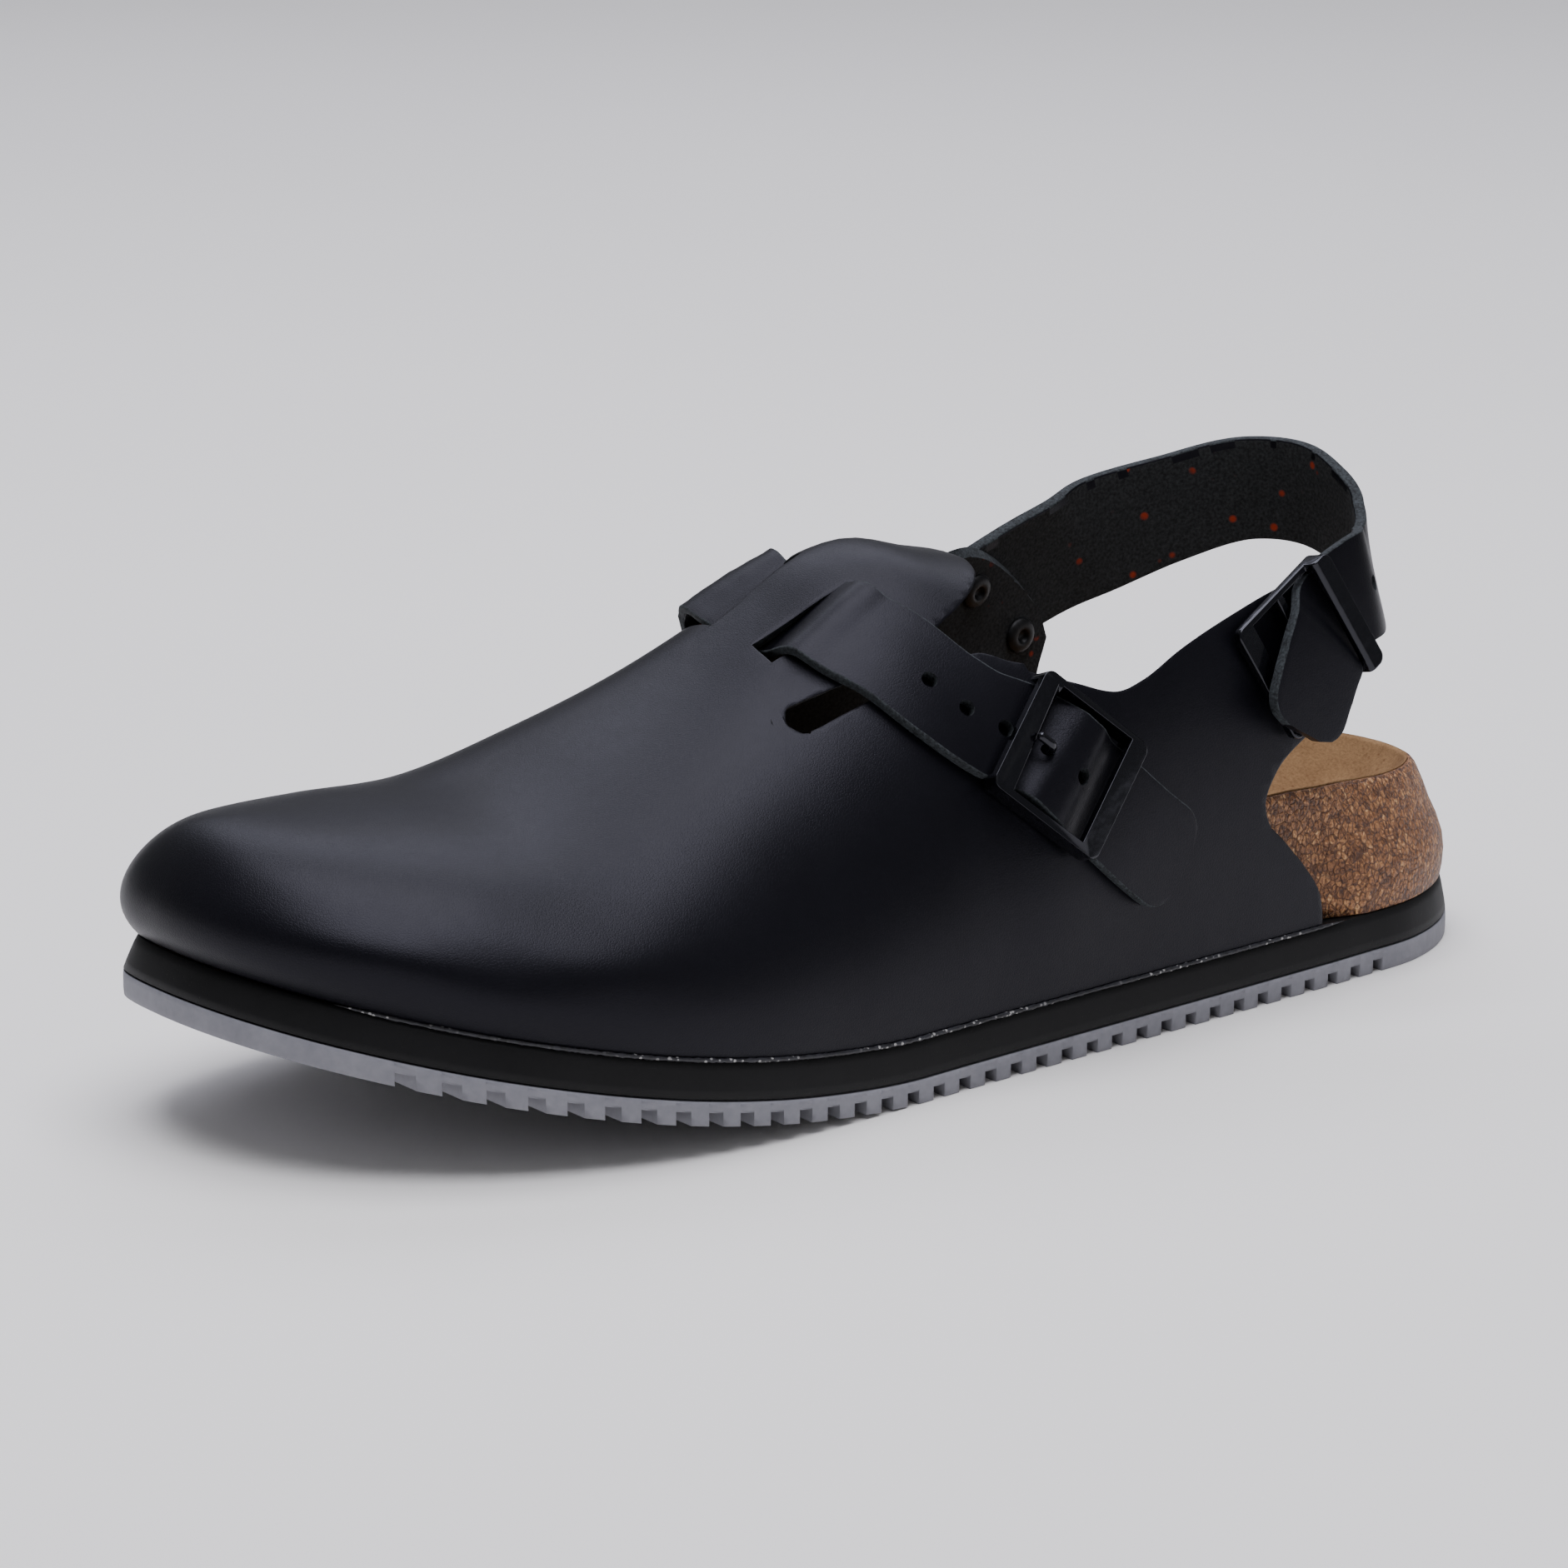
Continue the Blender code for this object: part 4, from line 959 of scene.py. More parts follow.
# Ridges and troughs; a crease's height is a share of the wall, and a trough's is below 0.
Crease = namedtuple("Crease", "side share rise run spread height")
CREASES = rows_of(Crease, [
    (1, 0.935, 0.40, 0.045, 0.13, 0.36),
    (1, 0.795, 0.44, 0.050, 0.13, 0.46),
    (1, 0.866, 0.46, 0.034, 0.15, -0.16),
    (1, 0.865, 0.66, 0.110, 0.09, -0.08),
    (1, 0.690, 0.66, 0.060, 0.16, 0.12),
    (1, 0.630, 0.50, 0.040, 0.22, -0.14),
    (1, 0.455, 0.34, 0.060, 0.16, 0.16),
    (1, 0.380, 0.50, 0.050, 0.20, -0.14),
    (-1, 0.900, 0.44, 0.050, 0.14, 0.22),
    (-1, 0.780, 0.52, 0.050, 0.16, -0.16),
    (-1, 0.640, 0.46, 0.045, 0.20, 0.16),
    (-1, 0.470, 0.40, 0.060, 0.18, -0.16),
])


def creased(across, share):
    """A point of the hide, pushed out or in where a crease runs."""
    side, rise = side_and_rise(across)
    point = last_point(side, share, rise)
    push = 0.0
    for crease in CREASES:
        if crease.side == side:
            run = (share - crease.share) / crease.run
            spread = (rise - crease.rise) / crease.spread
            push += crease.height * WALL * math.exp(-(run**2 + spread**2))
    return point + from_core(point).normalized() * push


def hide_on_last():
    def place(across, along):
        return creased(across, UPPER_BACK + (1 - UPPER_BACK) * math.sin(math.pi / 2 * along))
    shape = grid(UPPER_COLUMNS, UPPER_ROWS, place)
    bmesh.ops.remove_doubles(shape, verts=shape.verts, dist=1e-6)
    bmesh.ops.recalc_face_normals(shape, faces=shape.faces)
    upward = sum(face.normal.z for face in shape.faces)
    if upward < 0:
        bmesh.ops.reverse_faces(shape, faces=shape.faces)
    made = piece("upper_hide", shape, HIDE, ["upper"])
    thicken(made)
    return made


def thicken(hide):
    """Grow the hide's thickness inwards, with the flesh side and the raw edge in their finishes."""
    wall = hide.modifiers.new("wall", "SOLIDIFY")
    wall.thickness = WALL
    wall.offset = -1
    wall.use_quality_normals = True
    wall.material_offset = 1
    wall.material_offset_rim = 2
    settle(hide)


def keep_outer_face(hide):
    """Keep the cut hide's outer face alone, with its border set in and pressed down a little."""
    shape = bmesh.new()
    shape.from_mesh(hide.data)
    bmesh.ops.delete(shape, geom=[f for f in shape.faces if f.material_index], context="FACES")
    border = {v for f in shape.faces for v in f.verts if any(w.is_boundary for w in f.verts)}
    bmesh.ops.remove_doubles(shape, verts=list(border), dist=EDGE_ROUND)
    bmesh.ops.dissolve_degenerate(shape, edges=shape.edges, dist=SLIVER)
    bmesh.ops.triangulate(shape, faces=[f for f in shape.faces if len(f.verts) > 4])
    bmesh.ops.inset_region(
        shape, faces=shape.faces, thickness=EDGE_ROUND, depth=0,
        use_boundary=True, use_even_offset=False,
    )
    for vert in shape.verts:
        if vert.is_boundary:
            vert.co -= vert.normal * EDGE_DROP
    shape.to_mesh(hide.data)
    shape.free()


# %% Outlines of the throat, the collar and the slots
Throat = namedtuple("Throat", "along quarter tongue")
THROAT = rows_of(Throat, [
    (0.602, 0.545, 0.520),
    (0.597, 0.582, 0.492),
    (0.587, 0.592, 0.498),
    (0.572, 0.597, 0.513),
    (0.540, 0.612, 0.543),
    (0.500, 0.622, 0.550),
    (0.474, 0.626, 0.522),
    (0.456, 0.640, 0.490),
    (0.437, 0.690, 0.430),
    (0.420, 0.720, 0.330),
    (0.408, 0.720, 0.180),
])
THROAT_BACK = [(0.38, 0.52), (0.28, 0.54), (0.18, 0.62), (0.02, 1.10)]
# The largest share for the quarter's edge beside the tongue, on the outer (1) and inner (-1) side.
THROAT_LIMIT = {1: 1.0, -1: 0.615}
QUARTER_POINTS = 70
TONGUE_POINTS = 80
TONGUE_END = 0.4045
SLOT_REAR = 0.509
SLOT_FRONT = 0.583
LATERAL_SLOT = [(0.060, 0.115), (0.028, 0.090)]
MEDIAL_SLOT = [(-0.225, -0.100), (-0.225, -0.100)]

Outline = namedtuple("Outline", "along height")
LATERAL_COLLAR = rows_of(Outline, [
    (0.428, 0.847), (0.400, 0.816), (0.362, 0.782), (0.344, 0.795),
    (0.307, 0.842), (0.260, 0.891), (0.204, 0.938), (0.172, 0.953),
    (0.152, 0.890), (0.141, 0.790), (0.144, 0.700), (0.163, 0.632),
    (0.202, 0.590), (0.230, 0.528), (0.241, 0.461), (0.239, 0.425),
    (0.223, 0.366), (0.204, 0.299), (0.188, 0.226), (0.183, 0.100),
])
MEDIAL_COLLAR = rows_of(Outline, [
    (0.428, 0.890), (0.402, 0.905), (0.378, 0.950), (0.354, 0.978),
    (0.332, 0.972), (0.310, 0.943), (0.290, 0.900), (0.268, 0.835),
    (0.252, 0.770), (0.246, 0.710), (0.251, 0.640), (0.258, 0.540),
    (0.255, 0.465), (0.243, 0.390), (0.220, 0.299), (0.203, 0.226),
    (0.198, 0.100),
])
COLLAR_POINTS = 170


def throat_blade():
    """The slits beside the tongue and the opening behind it, seen from above."""
    def at(along, part, side):
        foot, _ = edge(side, along, taper(along))
        middle = column(RIDGE, "shift", along) * BALL_WIDTH
        return (middle + (foot[0] - middle) * part, foot[1])

    quarter, tongue = {}, {}
    for side in (-1, 1):
        limit = THROAT_LIMIT[side]
        beside = [at(row.along, min(row.quarter, limit), side) for row in THROAT]
        behind = [at(share, part, side) for share, part in THROAT_BACK]
        quarter[side] = list(curve(beside, QUARTER_POINTS)) + behind
        rim = [at(row.along, row.tongue, side) for row in THROAT]
        tongue[side] = list(curve(rim, TONGUE_POINTS))
    tip = [at(TONGUE_END, 0.0, 1)]
    outline = quarter[1] + quarter[-1][::-1] + tongue[-1] + tip + tongue[1][::-1]
    points = [placed(x, distance, 0.5 * INSTEP_HEIGHT) for x, distance in outline]
    return blade("throat_blade", points, Vector((0, 0, 1.1 * INSTEP_HEIGHT)), RAW)


def collar_blade(name, rows, side):
    """Everything above the collar and behind the quarter on one side, seen from that side."""
    points = [(row.along * LENGTH, row.height * EAR_HEIGHT) for row in rows]
    line = curve(points, COLLAR_POINTS)
    back = 0.035 * LENGTH
    top = 1.8 * EAR_HEIGHT
    below = -0.1 * EAR_HEIGHT
    outline = list(line) + [(line[-1][0], below), (back, below), (back, top), (line[0][0], top)]
    start = 0.17 * BALL_WIDTH * side
    travel = 0.53 * BALL_WIDTH * side
    corners = [placed(start, distance, z) for distance, z in outline]
    return blade(name, corners, Vector((travel, 0, 0)), RAW)


def slot_blade(name, rear, front):
    """A slot in the tongue that the instep strap passes through: x at its rear and front ends."""
    low = travel = 0.6 * INSTEP_HEIGHT
    corners = [(x, SLOT_REAR) for x in rear] + [(x, SLOT_FRONT) for x in reversed(front)]
    points = [placed(x * BALL_WIDTH, along * LENGTH, low) for x, along in corners]
    return blade(name, points, Vector((0, 0, travel)), RAW)


# %% Cut the upper
def upper():
    hide = hide_on_last()
    carve(
        hide,
        throat_blade(),
        collar_blade("lateral_collar_blade", LATERAL_COLLAR, 1),
        collar_blade("medial_collar_blade", MEDIAL_COLLAR, -1),
        slot_blade("lateral_slot_blade", *LATERAL_SLOT),
        slot_blade("medial_slot_blade", *MEDIAL_SLOT),
    )
    keep_outer_face(hide)
    thicken(hide)
    return crisp(hide)


hide = upper()
print("upper", triangles(hide))

# %% [markdown]
# ## Straps
# Each strap is a band of the same hide, laid over the last along a middle line. Stations along that
# line say where the band's middle is, which way is out, how wide it is and how far it is lifted over
# the buckle's bars. The band is a grid wound round its own section, so both sides and both edges come
# in one piece; its finishes follow the side that a face is on.

# %% Middle lines
StrapRow = namedtuple("StrapRow", "x along height lift")
INSTEP_STRAP = rows_of(StrapRow, [
    (-0.400, 0.430, 0.380, 0.05),
    (-0.370, 0.470, 0.560, 0.05),
    (-0.320, 0.505, 0.740, 0.25),
    (-0.272, 0.523, 0.850, 0.80),
    (-0.225, 0.533, 0.880, 0.45),
    (-0.180, 0.538, 0.890, -0.40),
    (-0.140, 0.541, 0.900, -1.00),
    (-0.080, 0.544, 0.900, -1.00),
    (-0.020, 0.545, 0.880, -1.00),
    (0.020, 0.545, 0.880, -0.95),
    (0.060, 0.5425, 0.874, -0.45),
    (0.096, 0.540, 0.866, 0.03),
    (0.152, 0.533, 0.842, 0.00),
    (0.195, 0.521, 0.810, 0.00),
    (0.278, 0.499, 0.740, 0.00),
    (0.320, 0.478, 0.690, 0.00),
    (0.345, 0.447, 0.640, 0.00),
    (0.370, 0.420, 0.560, 0.00),
    (0.385, 0.392, 0.490, 0.00),
    (0.392, 0.365, 0.420, 0.00),
    (0.388, 0.330, 0.340, 0.00),
])
HeelRow = namedtuple("HeelRow", "x along height lean hold flare")
HEEL_STRAP = rows_of(HeelRow, [
    (-0.450, 0.335, 0.785, 8, 1, 1.24),
    (-0.450, 0.296, 0.832, 8, 1, 1.24),
    (-0.446, 0.250, 0.882, 6, 1, 1.24),
    (-0.430, 0.200, 0.932, 4, 0, 1.18),
    (-0.354, 0.156, 0.982, 4, 0, 1.06),
    (-0.205, 0.112, 1.035, 4, 0, 1.00),
    (-0.060, 0.097, 1.035, 6, 0, 1.00),
    (0.080, 0.097, 1.005, 10, 0, 1.00),
    (0.205, 0.102, 0.955, 14, 0, 1.00),
    (0.305, 0.115, 0.910, 14, 0, 1.00),
    (0.395, 0.148, 0.890, 10, 1, 1.00),
    (0.425, 0.170, 0.862, 10, 1, 1.00),
    (0.440, 0.190, 0.800, 10, 1, 1.00),
    (0.455, 0.206, 0.720, 10, 1, 1.00),
    (0.461, 0.223, 0.615, 10, 1, 1.00),
])
Spot = namedtuple("Spot", "x along height turn")
INSTEP_BUCKLE = Spot(0.368, 0.427, 0.585, -3)
HEEL_BUCKLE = Spot(0.438, 0.202, 0.795, 29)
RIVETS = [Spot(-0.400, 0.321, 0.862, 0), Spot(-0.440, 0.274, 0.727, 0)]
HOLES_BEFORE = 3
HOLES_AFTER = 1
HEEL_HOLES = 3
PRONG_BACK = 0.0053
PRONG_REACH = 0.26
END_CORNER = 0.55
SEAT = CLEARANCE
BAR_SEAT = 2 * CLEARANCE
OVER_BAR = BAR_SEAT + BAR_THICKNESS + 1.5 * CLEARANCE
UNDER_TONGUE = -(WALL + 2 * CLEARANCE + STRAP_THICKNESS)
FRAME_TOP = SEAT + STRAP_THICKNESS + 3 * CLEARANCE + BAR_THICKNESS

# %% The last as a surface to lay things on
LAST_BACK = 0.02
LAST_COLUMNS = 64
LAST_ROWS = 90


def last_tree():
    """The whole last, uncut, as a search tree."""
    def place(across, along):
        return over_last(across, LAST_BACK + (1 - LAST_BACK) * math.sin(math.pi / 2 * along))

    shape = grid(LAST_COLUMNS, LAST_ROWS, place)
    shape.normal_update()
    tree = BVHTree.FromBMesh(shape)
    shape.free()
    return tree


LAST = last_tree()


def lay(point, lift):
    """The nearest place on the last, raised by lift, and the outward normal there."""
    spot, normal, _, _ = LAST.find_nearest(point)
    if normal.dot(from_core(spot)) < 0:
        normal = -normal
    return spot + normal * lift, normal


def on_last(spot, width, height):
    """A point on the last and the normal there, from shares of the named sizes."""
    return lay(placed(spot.x * width, spot.along * LENGTH, spot.height * height), 0.0)


def seat_axes(spot, width, height, towards):
    """Axes on the last: X along the strap, Z outwards."""
    point, normal = on_last(spot, width, height)
    along = (towards - normal * towards.dot(normal)).normalized()
    along = Matrix.Rotation(math.radians(spot.turn), 3, normal) @ along
    axes = Matrix((along, normal.cross(along), normal)).transposed().to_4x4()
    axes.translation = point
    return axes


# %% Stations along a strap
Station = namedtuple("Station", "middle across normal half hold lift")
STATIONS = 150


def end_half(left):
    """Half the strap's width at that distance from its free end, whose corners are round."""
    half = STRAP_WIDTH / 2
    corner = END_CORNER * half
    if left >= corner:
        return half
    return half - corner + corner * math.sqrt(max(1 - ((corner - left) / corner) ** 2, 0.0))


def buckle_lift(ahead, tip_over):
    """How far the strap rises over the buckle's bars, at that distance past the middle bar."""
    ramp, flat = 0.25 * BUCKLE_LENGTH, 0.06 * BUCKLE_LENGTH
    past = -ahead if ahead < 0 else 0.0 if tip_over else ahead
    rise = smoothstep(1 - (past - flat) / ramp)
    return rise * (OVER_BAR - SEAT + (2 * CLEARANCE if tip_over else 0))


def travel_to(spot, points, travel):
    """The travel along a row of points at the place nearest to spot."""
    places = np.array(points)[:, :3]
    nearest = int(np.argmin(np.linalg.norm(places - np.array(spot), axis=1)))
    k = min(max(nearest, 1), len(places) - 2)
    chord = places[k + 1] - places[k - 1]
    along = chord / np.linalg.norm(chord)
    return travel[k] + float(np.dot(np.array(spot) - places[k], along))


def direction(table, k):
    """Which way a strap runs at its k-th point."""
    ahead, behind = min(k + 1, len(table) - 1), max(k - 1, 0)
    return Vector(table[ahead, :3] - table[behind, :3]).normalized()


def instep_stations():
    rows = [(*on_last(row, BALL_WIDTH, INSTEP_HEIGHT)[0], row.lift) for row in INSTEP_STRAP]
    table = curve(rows, STATIONS)
    travel = path_travel(table)
    at_buckle = travel_to(on_last(INSTEP_BUCKLE, BALL_WIDTH, INSTEP_HEIGHT)[0], table, travel)
    stations = []
    for k in range(STATIONS):
        spot, normal = lay(Vector(table[k, :3]), 0.0)
        across = normal.cross(direction(table, k)).normalized()
        over_bar = buckle_lift(travel[k] - at_buckle, False)
        lift = SEAT + table[k, 3] * (SEAT - UNDER_TONGUE) + over_bar
        half = end_half(travel[-1] - travel[k])
        stations.append(Station(spot, across, normal, half, 1.0, lift))
    return stations


def heel_stations():
    rows = []
    for row in HEEL_STRAP:
        point = placed(row.x * HEEL_WIDTH, row.along * LENGTH, row.height * EAR_HEIGHT)
        if row.hold:
            point, _ = lay(point, SEAT)
        rows.append((*point, math.radians(row.lean), row.hold, row.flare))
    table = curve(rows, STATIONS)
    travel = path_travel(table)
    at_buckle = travel_to(on_last(HEEL_BUCKLE, HEEL_WIDTH, EAR_HEIGHT)[0], table, travel)
    stations = []
    for k in range(STATIONS):
        along = direction(table, k)
        level = Vector((-along.y, along.x, 0)).normalized()
        lean, hold, flare = table[k, 3:]
        across = (level * math.cos(lean) + Vector((0, 0, math.sin(lean)))).cross(along).normalized()
        normal = along.cross(across).normalized()
        half = end_half(travel[-1] - travel[k]) * flare
        lift = SEAT + buckle_lift(travel[k] - at_buckle, True)
        middle = Vector(table[k, :3])
        stations.append(Station(middle, across, normal, half, smoothstep(hold), lift))
    return stations


# %% A band round its section, punched
BAND_COLUMNS = 14
EDGE_POINTS = 5
HOLE_PUNCH = 4 * STRAP_THICKNESS
PRONG_PUNCH = 0.01


def band_section():
    """Shares (sideways from -1 to 1, thickness from 0 to 1) round a strap's section."""
    inset = EDGE_ROUND / (STRAP_WIDTH / 2)
    rise = EDGE_ROUND / STRAP_THICKNESS
    flat = [(-1 + inset) + 2 * (1 - inset) * k / BAND_COLUMNS for k in range(BAND_COLUMNS + 1)]
    low = [(side, 0.0) for side in flat]
    corner = 1 - 0.3 * inset
    right = [(corner, 0.3 * rise), (1, rise), (1, 0.5), (1, 1 - rise), (corner, 1 - 0.3 * rise)]
    high = [(side, 1.0) for side in reversed(flat)]
    left = [(-side, 1 - level) for side, level in right]
    return low + right + high + left


def strap_band(name, stations, node):
    """A strap along its stations: flesh side below, grain side above, raw at both edges."""
    ring = band_section()
    count, rows = len(ring), len(stations) - 1

    def place(around, along):
        station = stations[round(along * rows)]
        sideways, level = ring[round(around * count) % count]
        free = station.middle + station.across * (station.half * sideways)
        spot, normal = lay(free, station.lift)
        facing = station.normal.lerp(normal, station.hold).normalized()
        return free.lerp(spot, station.hold) + facing * (STRAP_THICKNESS * level)

    shape = close(grid(count, rows, place))
    across = shape.verts.layers.float["across"]
    flesh_end = (BAND_COLUMNS + 0.5) / count
    grain_from = (BAND_COLUMNS + EDGE_POINTS + 0.5) / count
    grain_to = (2 * BAND_COLUMNS + EDGE_POINTS + 1.5) / count
    for face in shape.faces:
        middle = sum(vert[across] for vert in face.verts) / len(face.verts)
        face.material_index = 2
        if middle < flesh_end:
            face.material_index = 1
        elif grain_from < middle < grain_to:
            face.material_index = 0
    return piece(name, shape, HIDE, [node])


def punch_blade(spot, axis, radius, depth, sides=28):
    """A round punch through a strap."""
    turn = axis.to_track_quat("Z", "Y").to_matrix().to_4x4()
    turn.translation = spot - axis * depth
    turns = [2 * math.pi * k / sides for k in range(sides)]
    outline = [turn @ Vector((radius * math.cos(a), radius * math.sin(a), 0)) for a in turns]
    return blade("punch", outline, axis * 2 * depth, RAW)


def punches(stations, middle, offsets):
    """Punches at distances along a strap from the place nearest to middle."""
    places = np.array([tuple(station.middle) for station in stations])
    travel = path_travel(places)
    start = travel_to(middle, places, travel)
    made = []
    for offset in offsets:
        k = int(np.searchsorted(travel, start + offset)) - 1
        share = (start + offset - travel[k]) / (travel[k + 1] - travel[k])
        spot = stations[k].middle.lerp(stations[k + 1].middle, share)
        made.append(punch_blade(spot, stations[k].normal, HOLE_RADIUS, HOLE_PUNCH))
    return made


# %% Instep strap and heel strap
BUCKLE_SPAN = 14

instep_path = instep_stations()
instep_strap = strap_band("instep_strap_hide", instep_path, "instep_strap")
instep_middle = on_last(INSTEP_BUCKLE, BALL_WIDTH, INSTEP_HEIGHT)[0]
nearest = min(range(STATIONS), key=lambda k: (instep_path[k].middle - instep_middle).length)
towards = instep_path[nearest + BUCKLE_SPAN].middle - instep_path[nearest - BUCKLE_SPAN].middle
INSTEP_AXES = seat_axes(INSTEP_BUCKLE, BALL_WIDTH, INSTEP_HEIGHT, towards)
offsets = [k * HOLE_PITCH - PRONG_BACK for k in range(-HOLES_BEFORE, HOLES_AFTER + 1) if k]
outward = INSTEP_AXES.to_3x3() @ Vector((0, 0, 1))
prong_foot = INSTEP_AXES @ Vector((-PRONG_BACK, 0, 0))
prong_hole = punch_blade(prong_foot, outward, PRONG_RADIUS + CLEARANCE, PRONG_PUNCH)
carve(instep_strap, *punches(instep_path, instep_middle, offsets), prong_hole)

heel_path = heel_stations()
heel_strap = strap_band("heel_strap_hide", heel_path, "heel_strap")
HEEL_AXES = seat_axes(HEEL_BUCKLE, HEEL_WIDTH, EAR_HEIGHT, Vector((0, -1, 0)))
start = -BUCKLE_LENGTH / 2 - HOLE_PITCH
offsets = [start - k * HOLE_PITCH for k in range(HEEL_HOLES)]
carve(heel_strap, *punches(heel_path, HEEL_AXES.translation, offsets))
crisp(instep_strap)
crisp(heel_strap)
print("straps", triangles(instep_strap), triangles(heel_strap))

# %% [markdown]
# ## Buckles, prong and rivets
# The buckles are die-cast frames under black lacquer: a broad end bar that the prong rests on, thin
# side bars, and a bar under the strap. Each is cut from a plate with round corners, and then every
# edge gets a fine bevel, because only a rounded edge catches a line of light.

# %% Buckle frames
BUCKLE_CORNER = 0.0019
BUCKLE_EDGE = 0.00036
ROLLED_EDGE = 0.0012
SLOPE = 0.0010
CORNER_STEPS = 8
FLAT_ANGLE = 0.01
BENT_ANGLE = 0.6


def block(name, low, high):
    """A block between two corners."""
    low, high = Vector(low), Vector(high)
    fit = Matrix.Translation((low + high) / 2) @ Matrix.Diagonal((*(high - low), 1))
    shape = bmesh.new()
    bmesh.ops.create_cube(shape, size=1, matrix=fit)
    return mesh_object(name, shape, [LACQUER])


def rounded_plate(name, end, outer, low, high):
    """A plate with round corners, to cut a buckle from."""
    outline = []
    for k, (u, v) in enumerate(((1, 1), (-1, 1), (-1, -1), (1, -1))):
        for step in range(CORNER_STEPS + 1):
            angle = math.pi / 2 * (k + step / CORNER_STEPS)
            x = u * (end - BUCKLE_CORNER) + BUCKLE_CORNER * math.cos(angle)
            y = v * (outer - BUCKLE_CORNER) + BUCKLE_CORNER * math.sin(angle)
            outline.append((x, y, low))
    return blade(name, outline, Vector((0, 0, high - low)), LACQUER)


def bevelled(shape, lines, width, segments):
    """Round some edges off; the new faces keep the finish beside them."""
    bmesh.ops.bevel(
        shape, geom=lines, offset=width, segments=segments, profile=0.5,
        affect="EDGES", clamp_overlap=True, material=-1,
    )


def buckle(name, axes, tip_over, node):
    """A frame with a bar under the strap; where tip_over, the strap's end lies over its far bar."""
    inner = STRAP_WIDTH / 2 + BUCKLE_PLAY
    outer = inner + SIDE_BAR
    tunnel = outer - BUCKLE_CORNER - 1.2 * CLEARANCE
    end, far = BUCKLE_LENGTH / 2, BUCKLE_LENGTH
    near, window = BAR_THICKNESS / 2, end - BAR_WIDTH
    bar_top = BAR_SEAT + BAR_THICKNESS
    level = FRAME_TOP - BAR_THICKNESS
    frame_plate = rounded_plate("frame", end, outer, BAR_SEAT, FRAME_TOP)
    cuts = [
        block("rear_window", (-window, -inner, -far), (-near, inner, far)),
        block("front_window", (near, -inner, -far), (window, inner, far)),
        block("under_end_bar", (-far, -tunnel, -far), (-near, tunnel, level)),
        block("over_middle_bar", (-window, -inner, bar_top), (window, inner, far)),
    ]
    if tip_over:
        cuts.append(block("over_far_bar", (-window, -far, bar_top), (far, far, far)))
    else:
        cuts.append(block("under_far_bar", (near, -tunnel, -far), (far, tunnel, level)))
    carve(frame_plate, *cuts)
    shape = bmesh.new()
    shape.from_mesh(frame_plate.data)
    bpy.data.objects.remove(frame_plate)
    bmesh.ops.dissolve_limit(shape, angle_limit=FLAT_ANGLE, verts=shape.verts, edges=shape.edges)

    def on_top(line):
        """Is it the long top edge of the broad end bar, towards the window?"""
        first, second = (vert.co for vert in line.verts)
        high = first.z + second.z > 2 * FRAME_TOP - near
        beside = abs(first.x + window) + abs(second.x + window) < near
        return high and beside and (first - second).length > far / 2

    bevelled(shape, [e for e in shape.edges if on_top(e)], ROLLED_EDGE, 5)
    for vert in shape.verts:
        if vert.co.x > window - near and vert.co.z > level + near and not tip_over:
            vert.co.z -= SLOPE * (vert.co.x - window) / BAR_WIDTH
    bent = [e for e in shape.edges if len(e.link_faces) == 2 and e.calc_face_angle() > BENT_ANGLE]
    bevelled(shape, bent, BUCKLE_EDGE, 3)
    bmesh.ops.triangulate(shape, faces=[f for f in shape.faces if len(f.verts) > 4])
    shape.transform(axes)
    bmesh.ops.recalc_face_normals(shape, faces=shape.faces)
    return crisp(piece(name, shape, [LACQUER], [node]), degrees=40)


instep_buckle = buckle("instep_buckle_frame", INSTEP_AXES, False, "instep_buckle")
heel_buckle = buckle("heel_buckle_frame", HEEL_AXES, True, "heel_buckle")
print("buckles", triangles(instep_buckle), triangles(heel_buckle))

# %% Round bars: the prong and the rivets
PRONG_POINTS = 48


def turned(name, axes, rings, finish, node, sides=28):
    """A closed round shape in its own axes; rings are (middle, tangent, radius) along it."""
    rows = len(rings) - 1

    def place(around, along):
        middle, tangent, radius = rings[round(along * rows)]
        angle = 2 * math.pi * (round(around * sides) % sides) / sides
        across = Vector((0, 1, 0))
        up = tangent.cross(across)
        return axes @ (middle + (across * math.cos(angle) + up * math.sin(angle)) * radius)

    return piece(name, close(grid(sides, rows, place)), [finish], [node])


def prong():
    """Up through the strap's hole, then over the end bar to a round tip."""
    rest = FRAME_TOP + PRONG_RADIUS + CLEARANCE
    strap_top = OVER_BAR + STRAP_THICKNESS
    over = max(rest, strap_top + PRONG_RADIUS + CLEARANCE)
    back, tip = PRONG_BACK, BUCKLE_LENGTH / 2 - (1 - PRONG_REACH) * BAR_WIDTH
    reach = tip - back
    path = [(-back, BAR_SEAT), (-back, strap_top - CLEARANCE)]
    path.append((-back - 0.2 * reach, 0.5 * (strap_top + over) + CLEARANCE))
    path += [(-back - 0.65 * reach, over), (-tip, rest)]
    line = curve(path, PRONG_POINTS)
    left = path_travel(np.column_stack([line, line[:, 0] * 0]))
    rings = []
    for k, (u, n) in enumerate(line):
        ahead, behind = line[min(k + 1, PRONG_POINTS - 1)], line[max(k - 1, 0)]
        tangent = Vector((ahead[0] - behind[0], 0, ahead[1] - behind[1])).normalized()
        short = min((left[-1] - left[k]) / PRONG_RADIUS, 1.0)
        radius = PRONG_RADIUS * math.sqrt(max(1 - (1 - short) ** 2, 0.0))
        rings.append((Vector((u, 0, n)), tangent, radius))
    return turned(
        "instep_buckle_prong", INSTEP_AXES, rings, LACQUER, "instep_prong", sides=20
    )


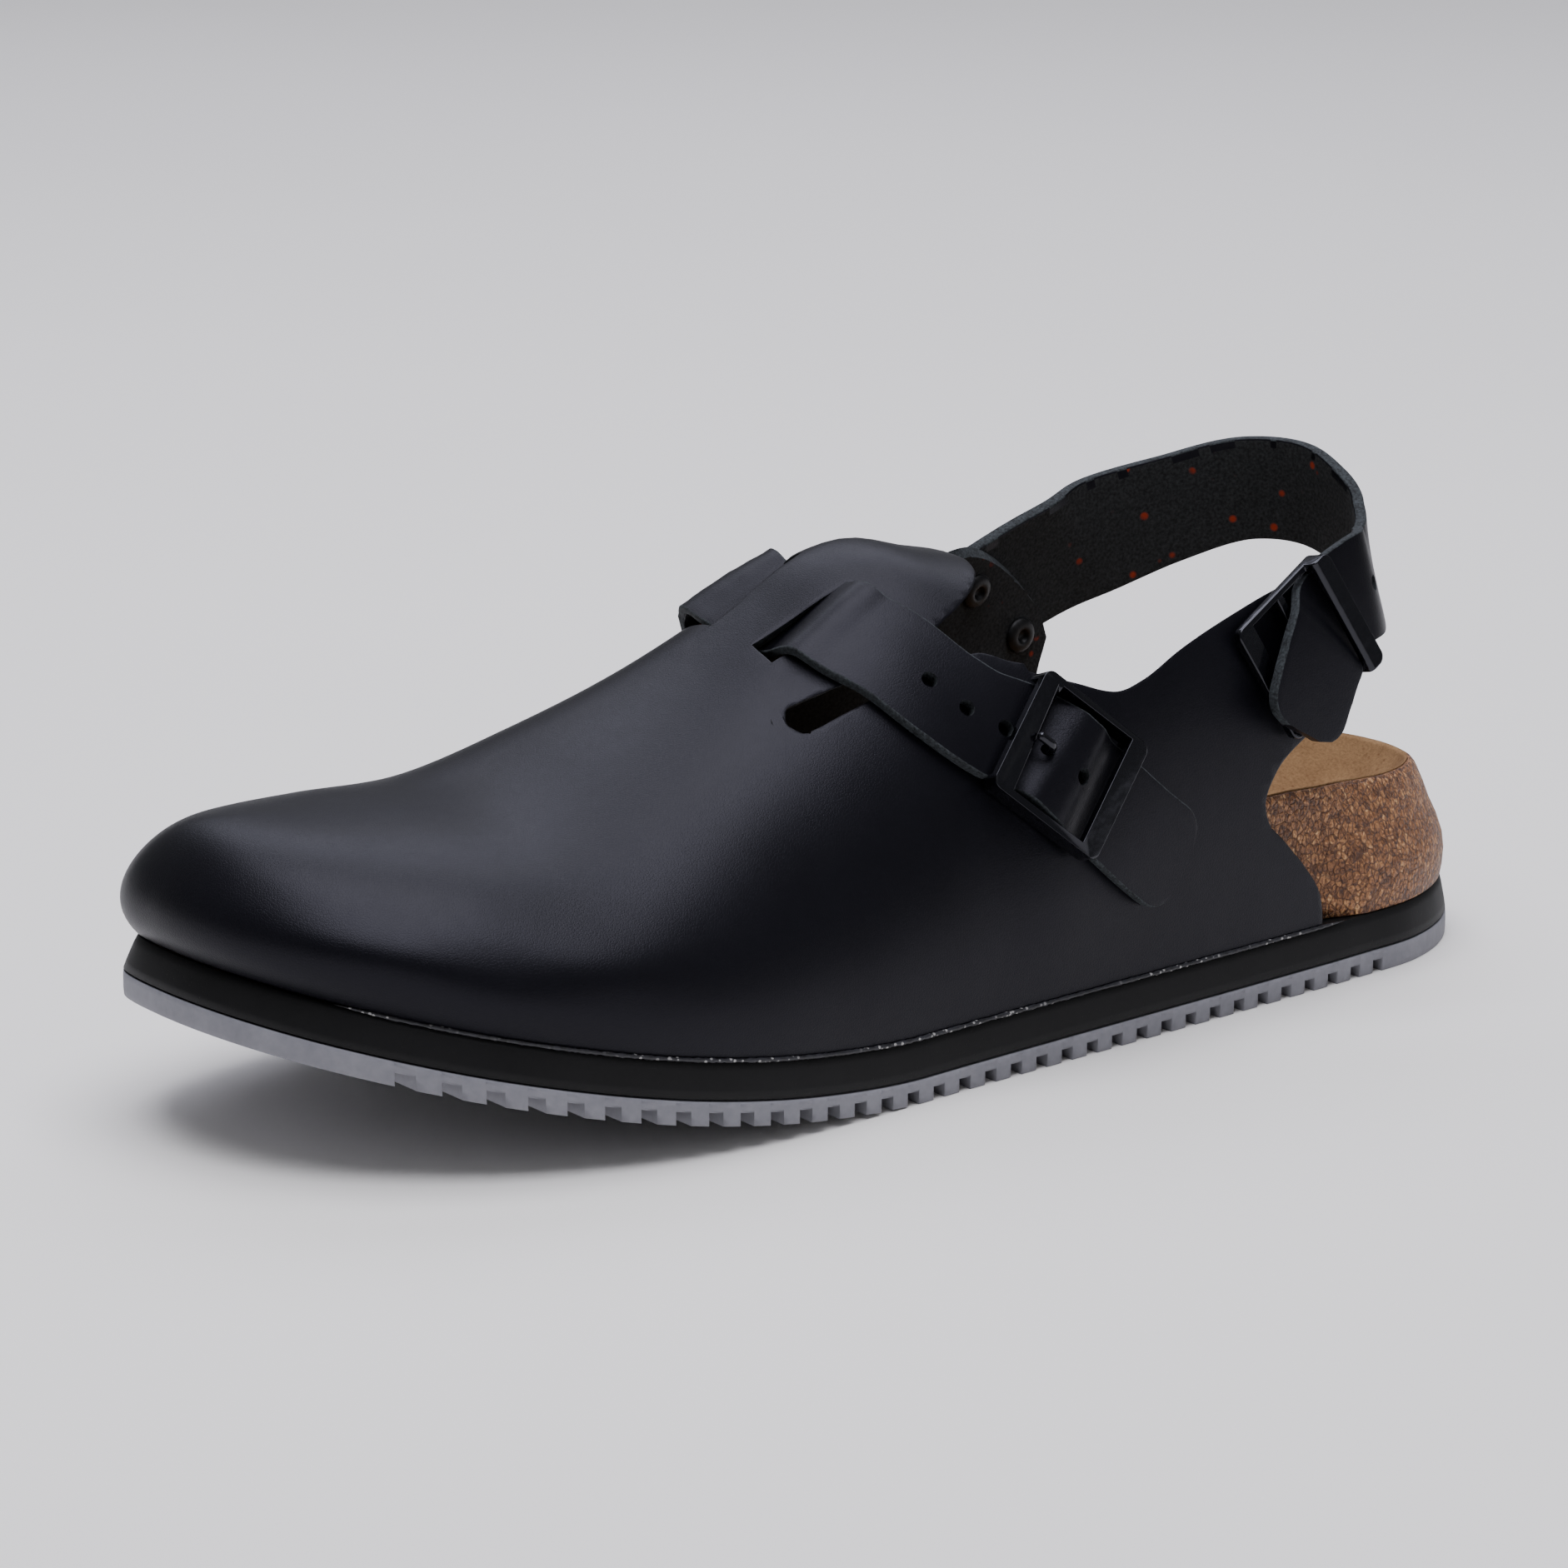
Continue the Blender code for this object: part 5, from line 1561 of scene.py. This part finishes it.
def rivet(name, spot, node):
    """A domed head outside, a shank, and a rolled head with a dimple on the flesh side."""
    axes = seat_axes(spot, HEEL_WIDTH, EAR_HEIGHT, Vector((0, -1, 0)))
    under = -(WALL + CLEARANCE)
    over = SEAT + STRAP_THICKNESS + CLEARANCE
    head = 0.3 * RIVET_HEAD
    inside = [(0.0, 0.05), (0.22, 0.05), (0.30, 0.25), (0.36, 0.80), (0.44, 1.00), (0.62, 0.98),
              (0.80, 0.80), (0.93, 0.50), (1.0, 0.15), (1.0, 0.0)]
    outside = [(1.0, 0.0), (1.0, 0.15), (0.95, 0.45), (0.82, 0.74), (0.60, 0.92), (0.30, 1.0),
               (0.0, 1.0)]
    profile = [(r * RIVET_HEAD, under - z * head) for r, z in inside]
    profile += [(RIVET_SHANK, under), (RIVET_SHANK, over)]
    profile += [(r * RIVET_HEAD, over + z * head) for r, z in outside]
    rings = [(Vector((0, 0, z)), Vector((0, 0, 1)), radius) for radius, z in profile]
    return crisp(turned(name, axes, rings, BLACKENED, node), degrees=60)


round_bars = [
    prong(),
    rivet("upper_rivet", RIVETS[0], "rivet_1"),
    rivet("lower_rivet", RIVETS[1], "rivet_2"),
]
print("prong and rivets", [triangles(thing) for thing in round_bars])

# %% [markdown]
# ## Dried glue and a painted highlight
# Along the outer side, a thin line of glue has squeezed out between leather and sole and dried. It is
# a fine uneven bead in the joint, dark like the sole, with whitish specks: partly crazed glue, and
# partly a painted highlight for the thin bright line where light catches the midsole's top lip.

# %% Glue line
GLUE_FROM = 0.16
GLUE_TO = 0.955
GLUE_RADIUS = 0.00042
GLUE_ROWS = 420
GLUE_SIDES = 8


def glue_line():
    """An uneven round bead that thins out at both ends."""
    random.seed(7)
    swell = [0.8 + 0.4 * random.random() for _ in range(GLUE_ROWS + 1)]

    def place(around, along):
        share = GLUE_FROM + (GLUE_TO - GLUE_FROM) * along
        foot, outward = edge(1, share, taper(share) - 0.4 * GLUE_RADIUS)
        angle = 2 * math.pi * (round(around * GLUE_SIDES) % GLUE_SIDES) / GLUE_SIDES
        thin = min(1.0, 40 * along * (1 - along) + 0.05)
        radius = GLUE_RADIUS * swell[round(along * GLUE_ROWS)] * thin
        sideways = Vector((outward[0], -outward[1], 0)) * (radius * math.cos(angle))
        joint = placed(*foot, sole_top(foot[1]) + 0.5 * CLEARANCE)
        return joint + sideways + Vector((0, 0, radius * math.sin(angle)))

    return piece("glue_line", close(grid(GLUE_SIDES, GLUE_ROWS, place)), [GLUE_WITH_HIGHLIGHT])


print("glue", triangles(glue_line()))

# %% Floor
ground = bmesh.new()
bmesh.ops.create_grid(ground, x_segments=1, y_segments=1, size=FLOOR_SIZE / 2)
floor = mesh_object("floor", ground, [pale_floor()])
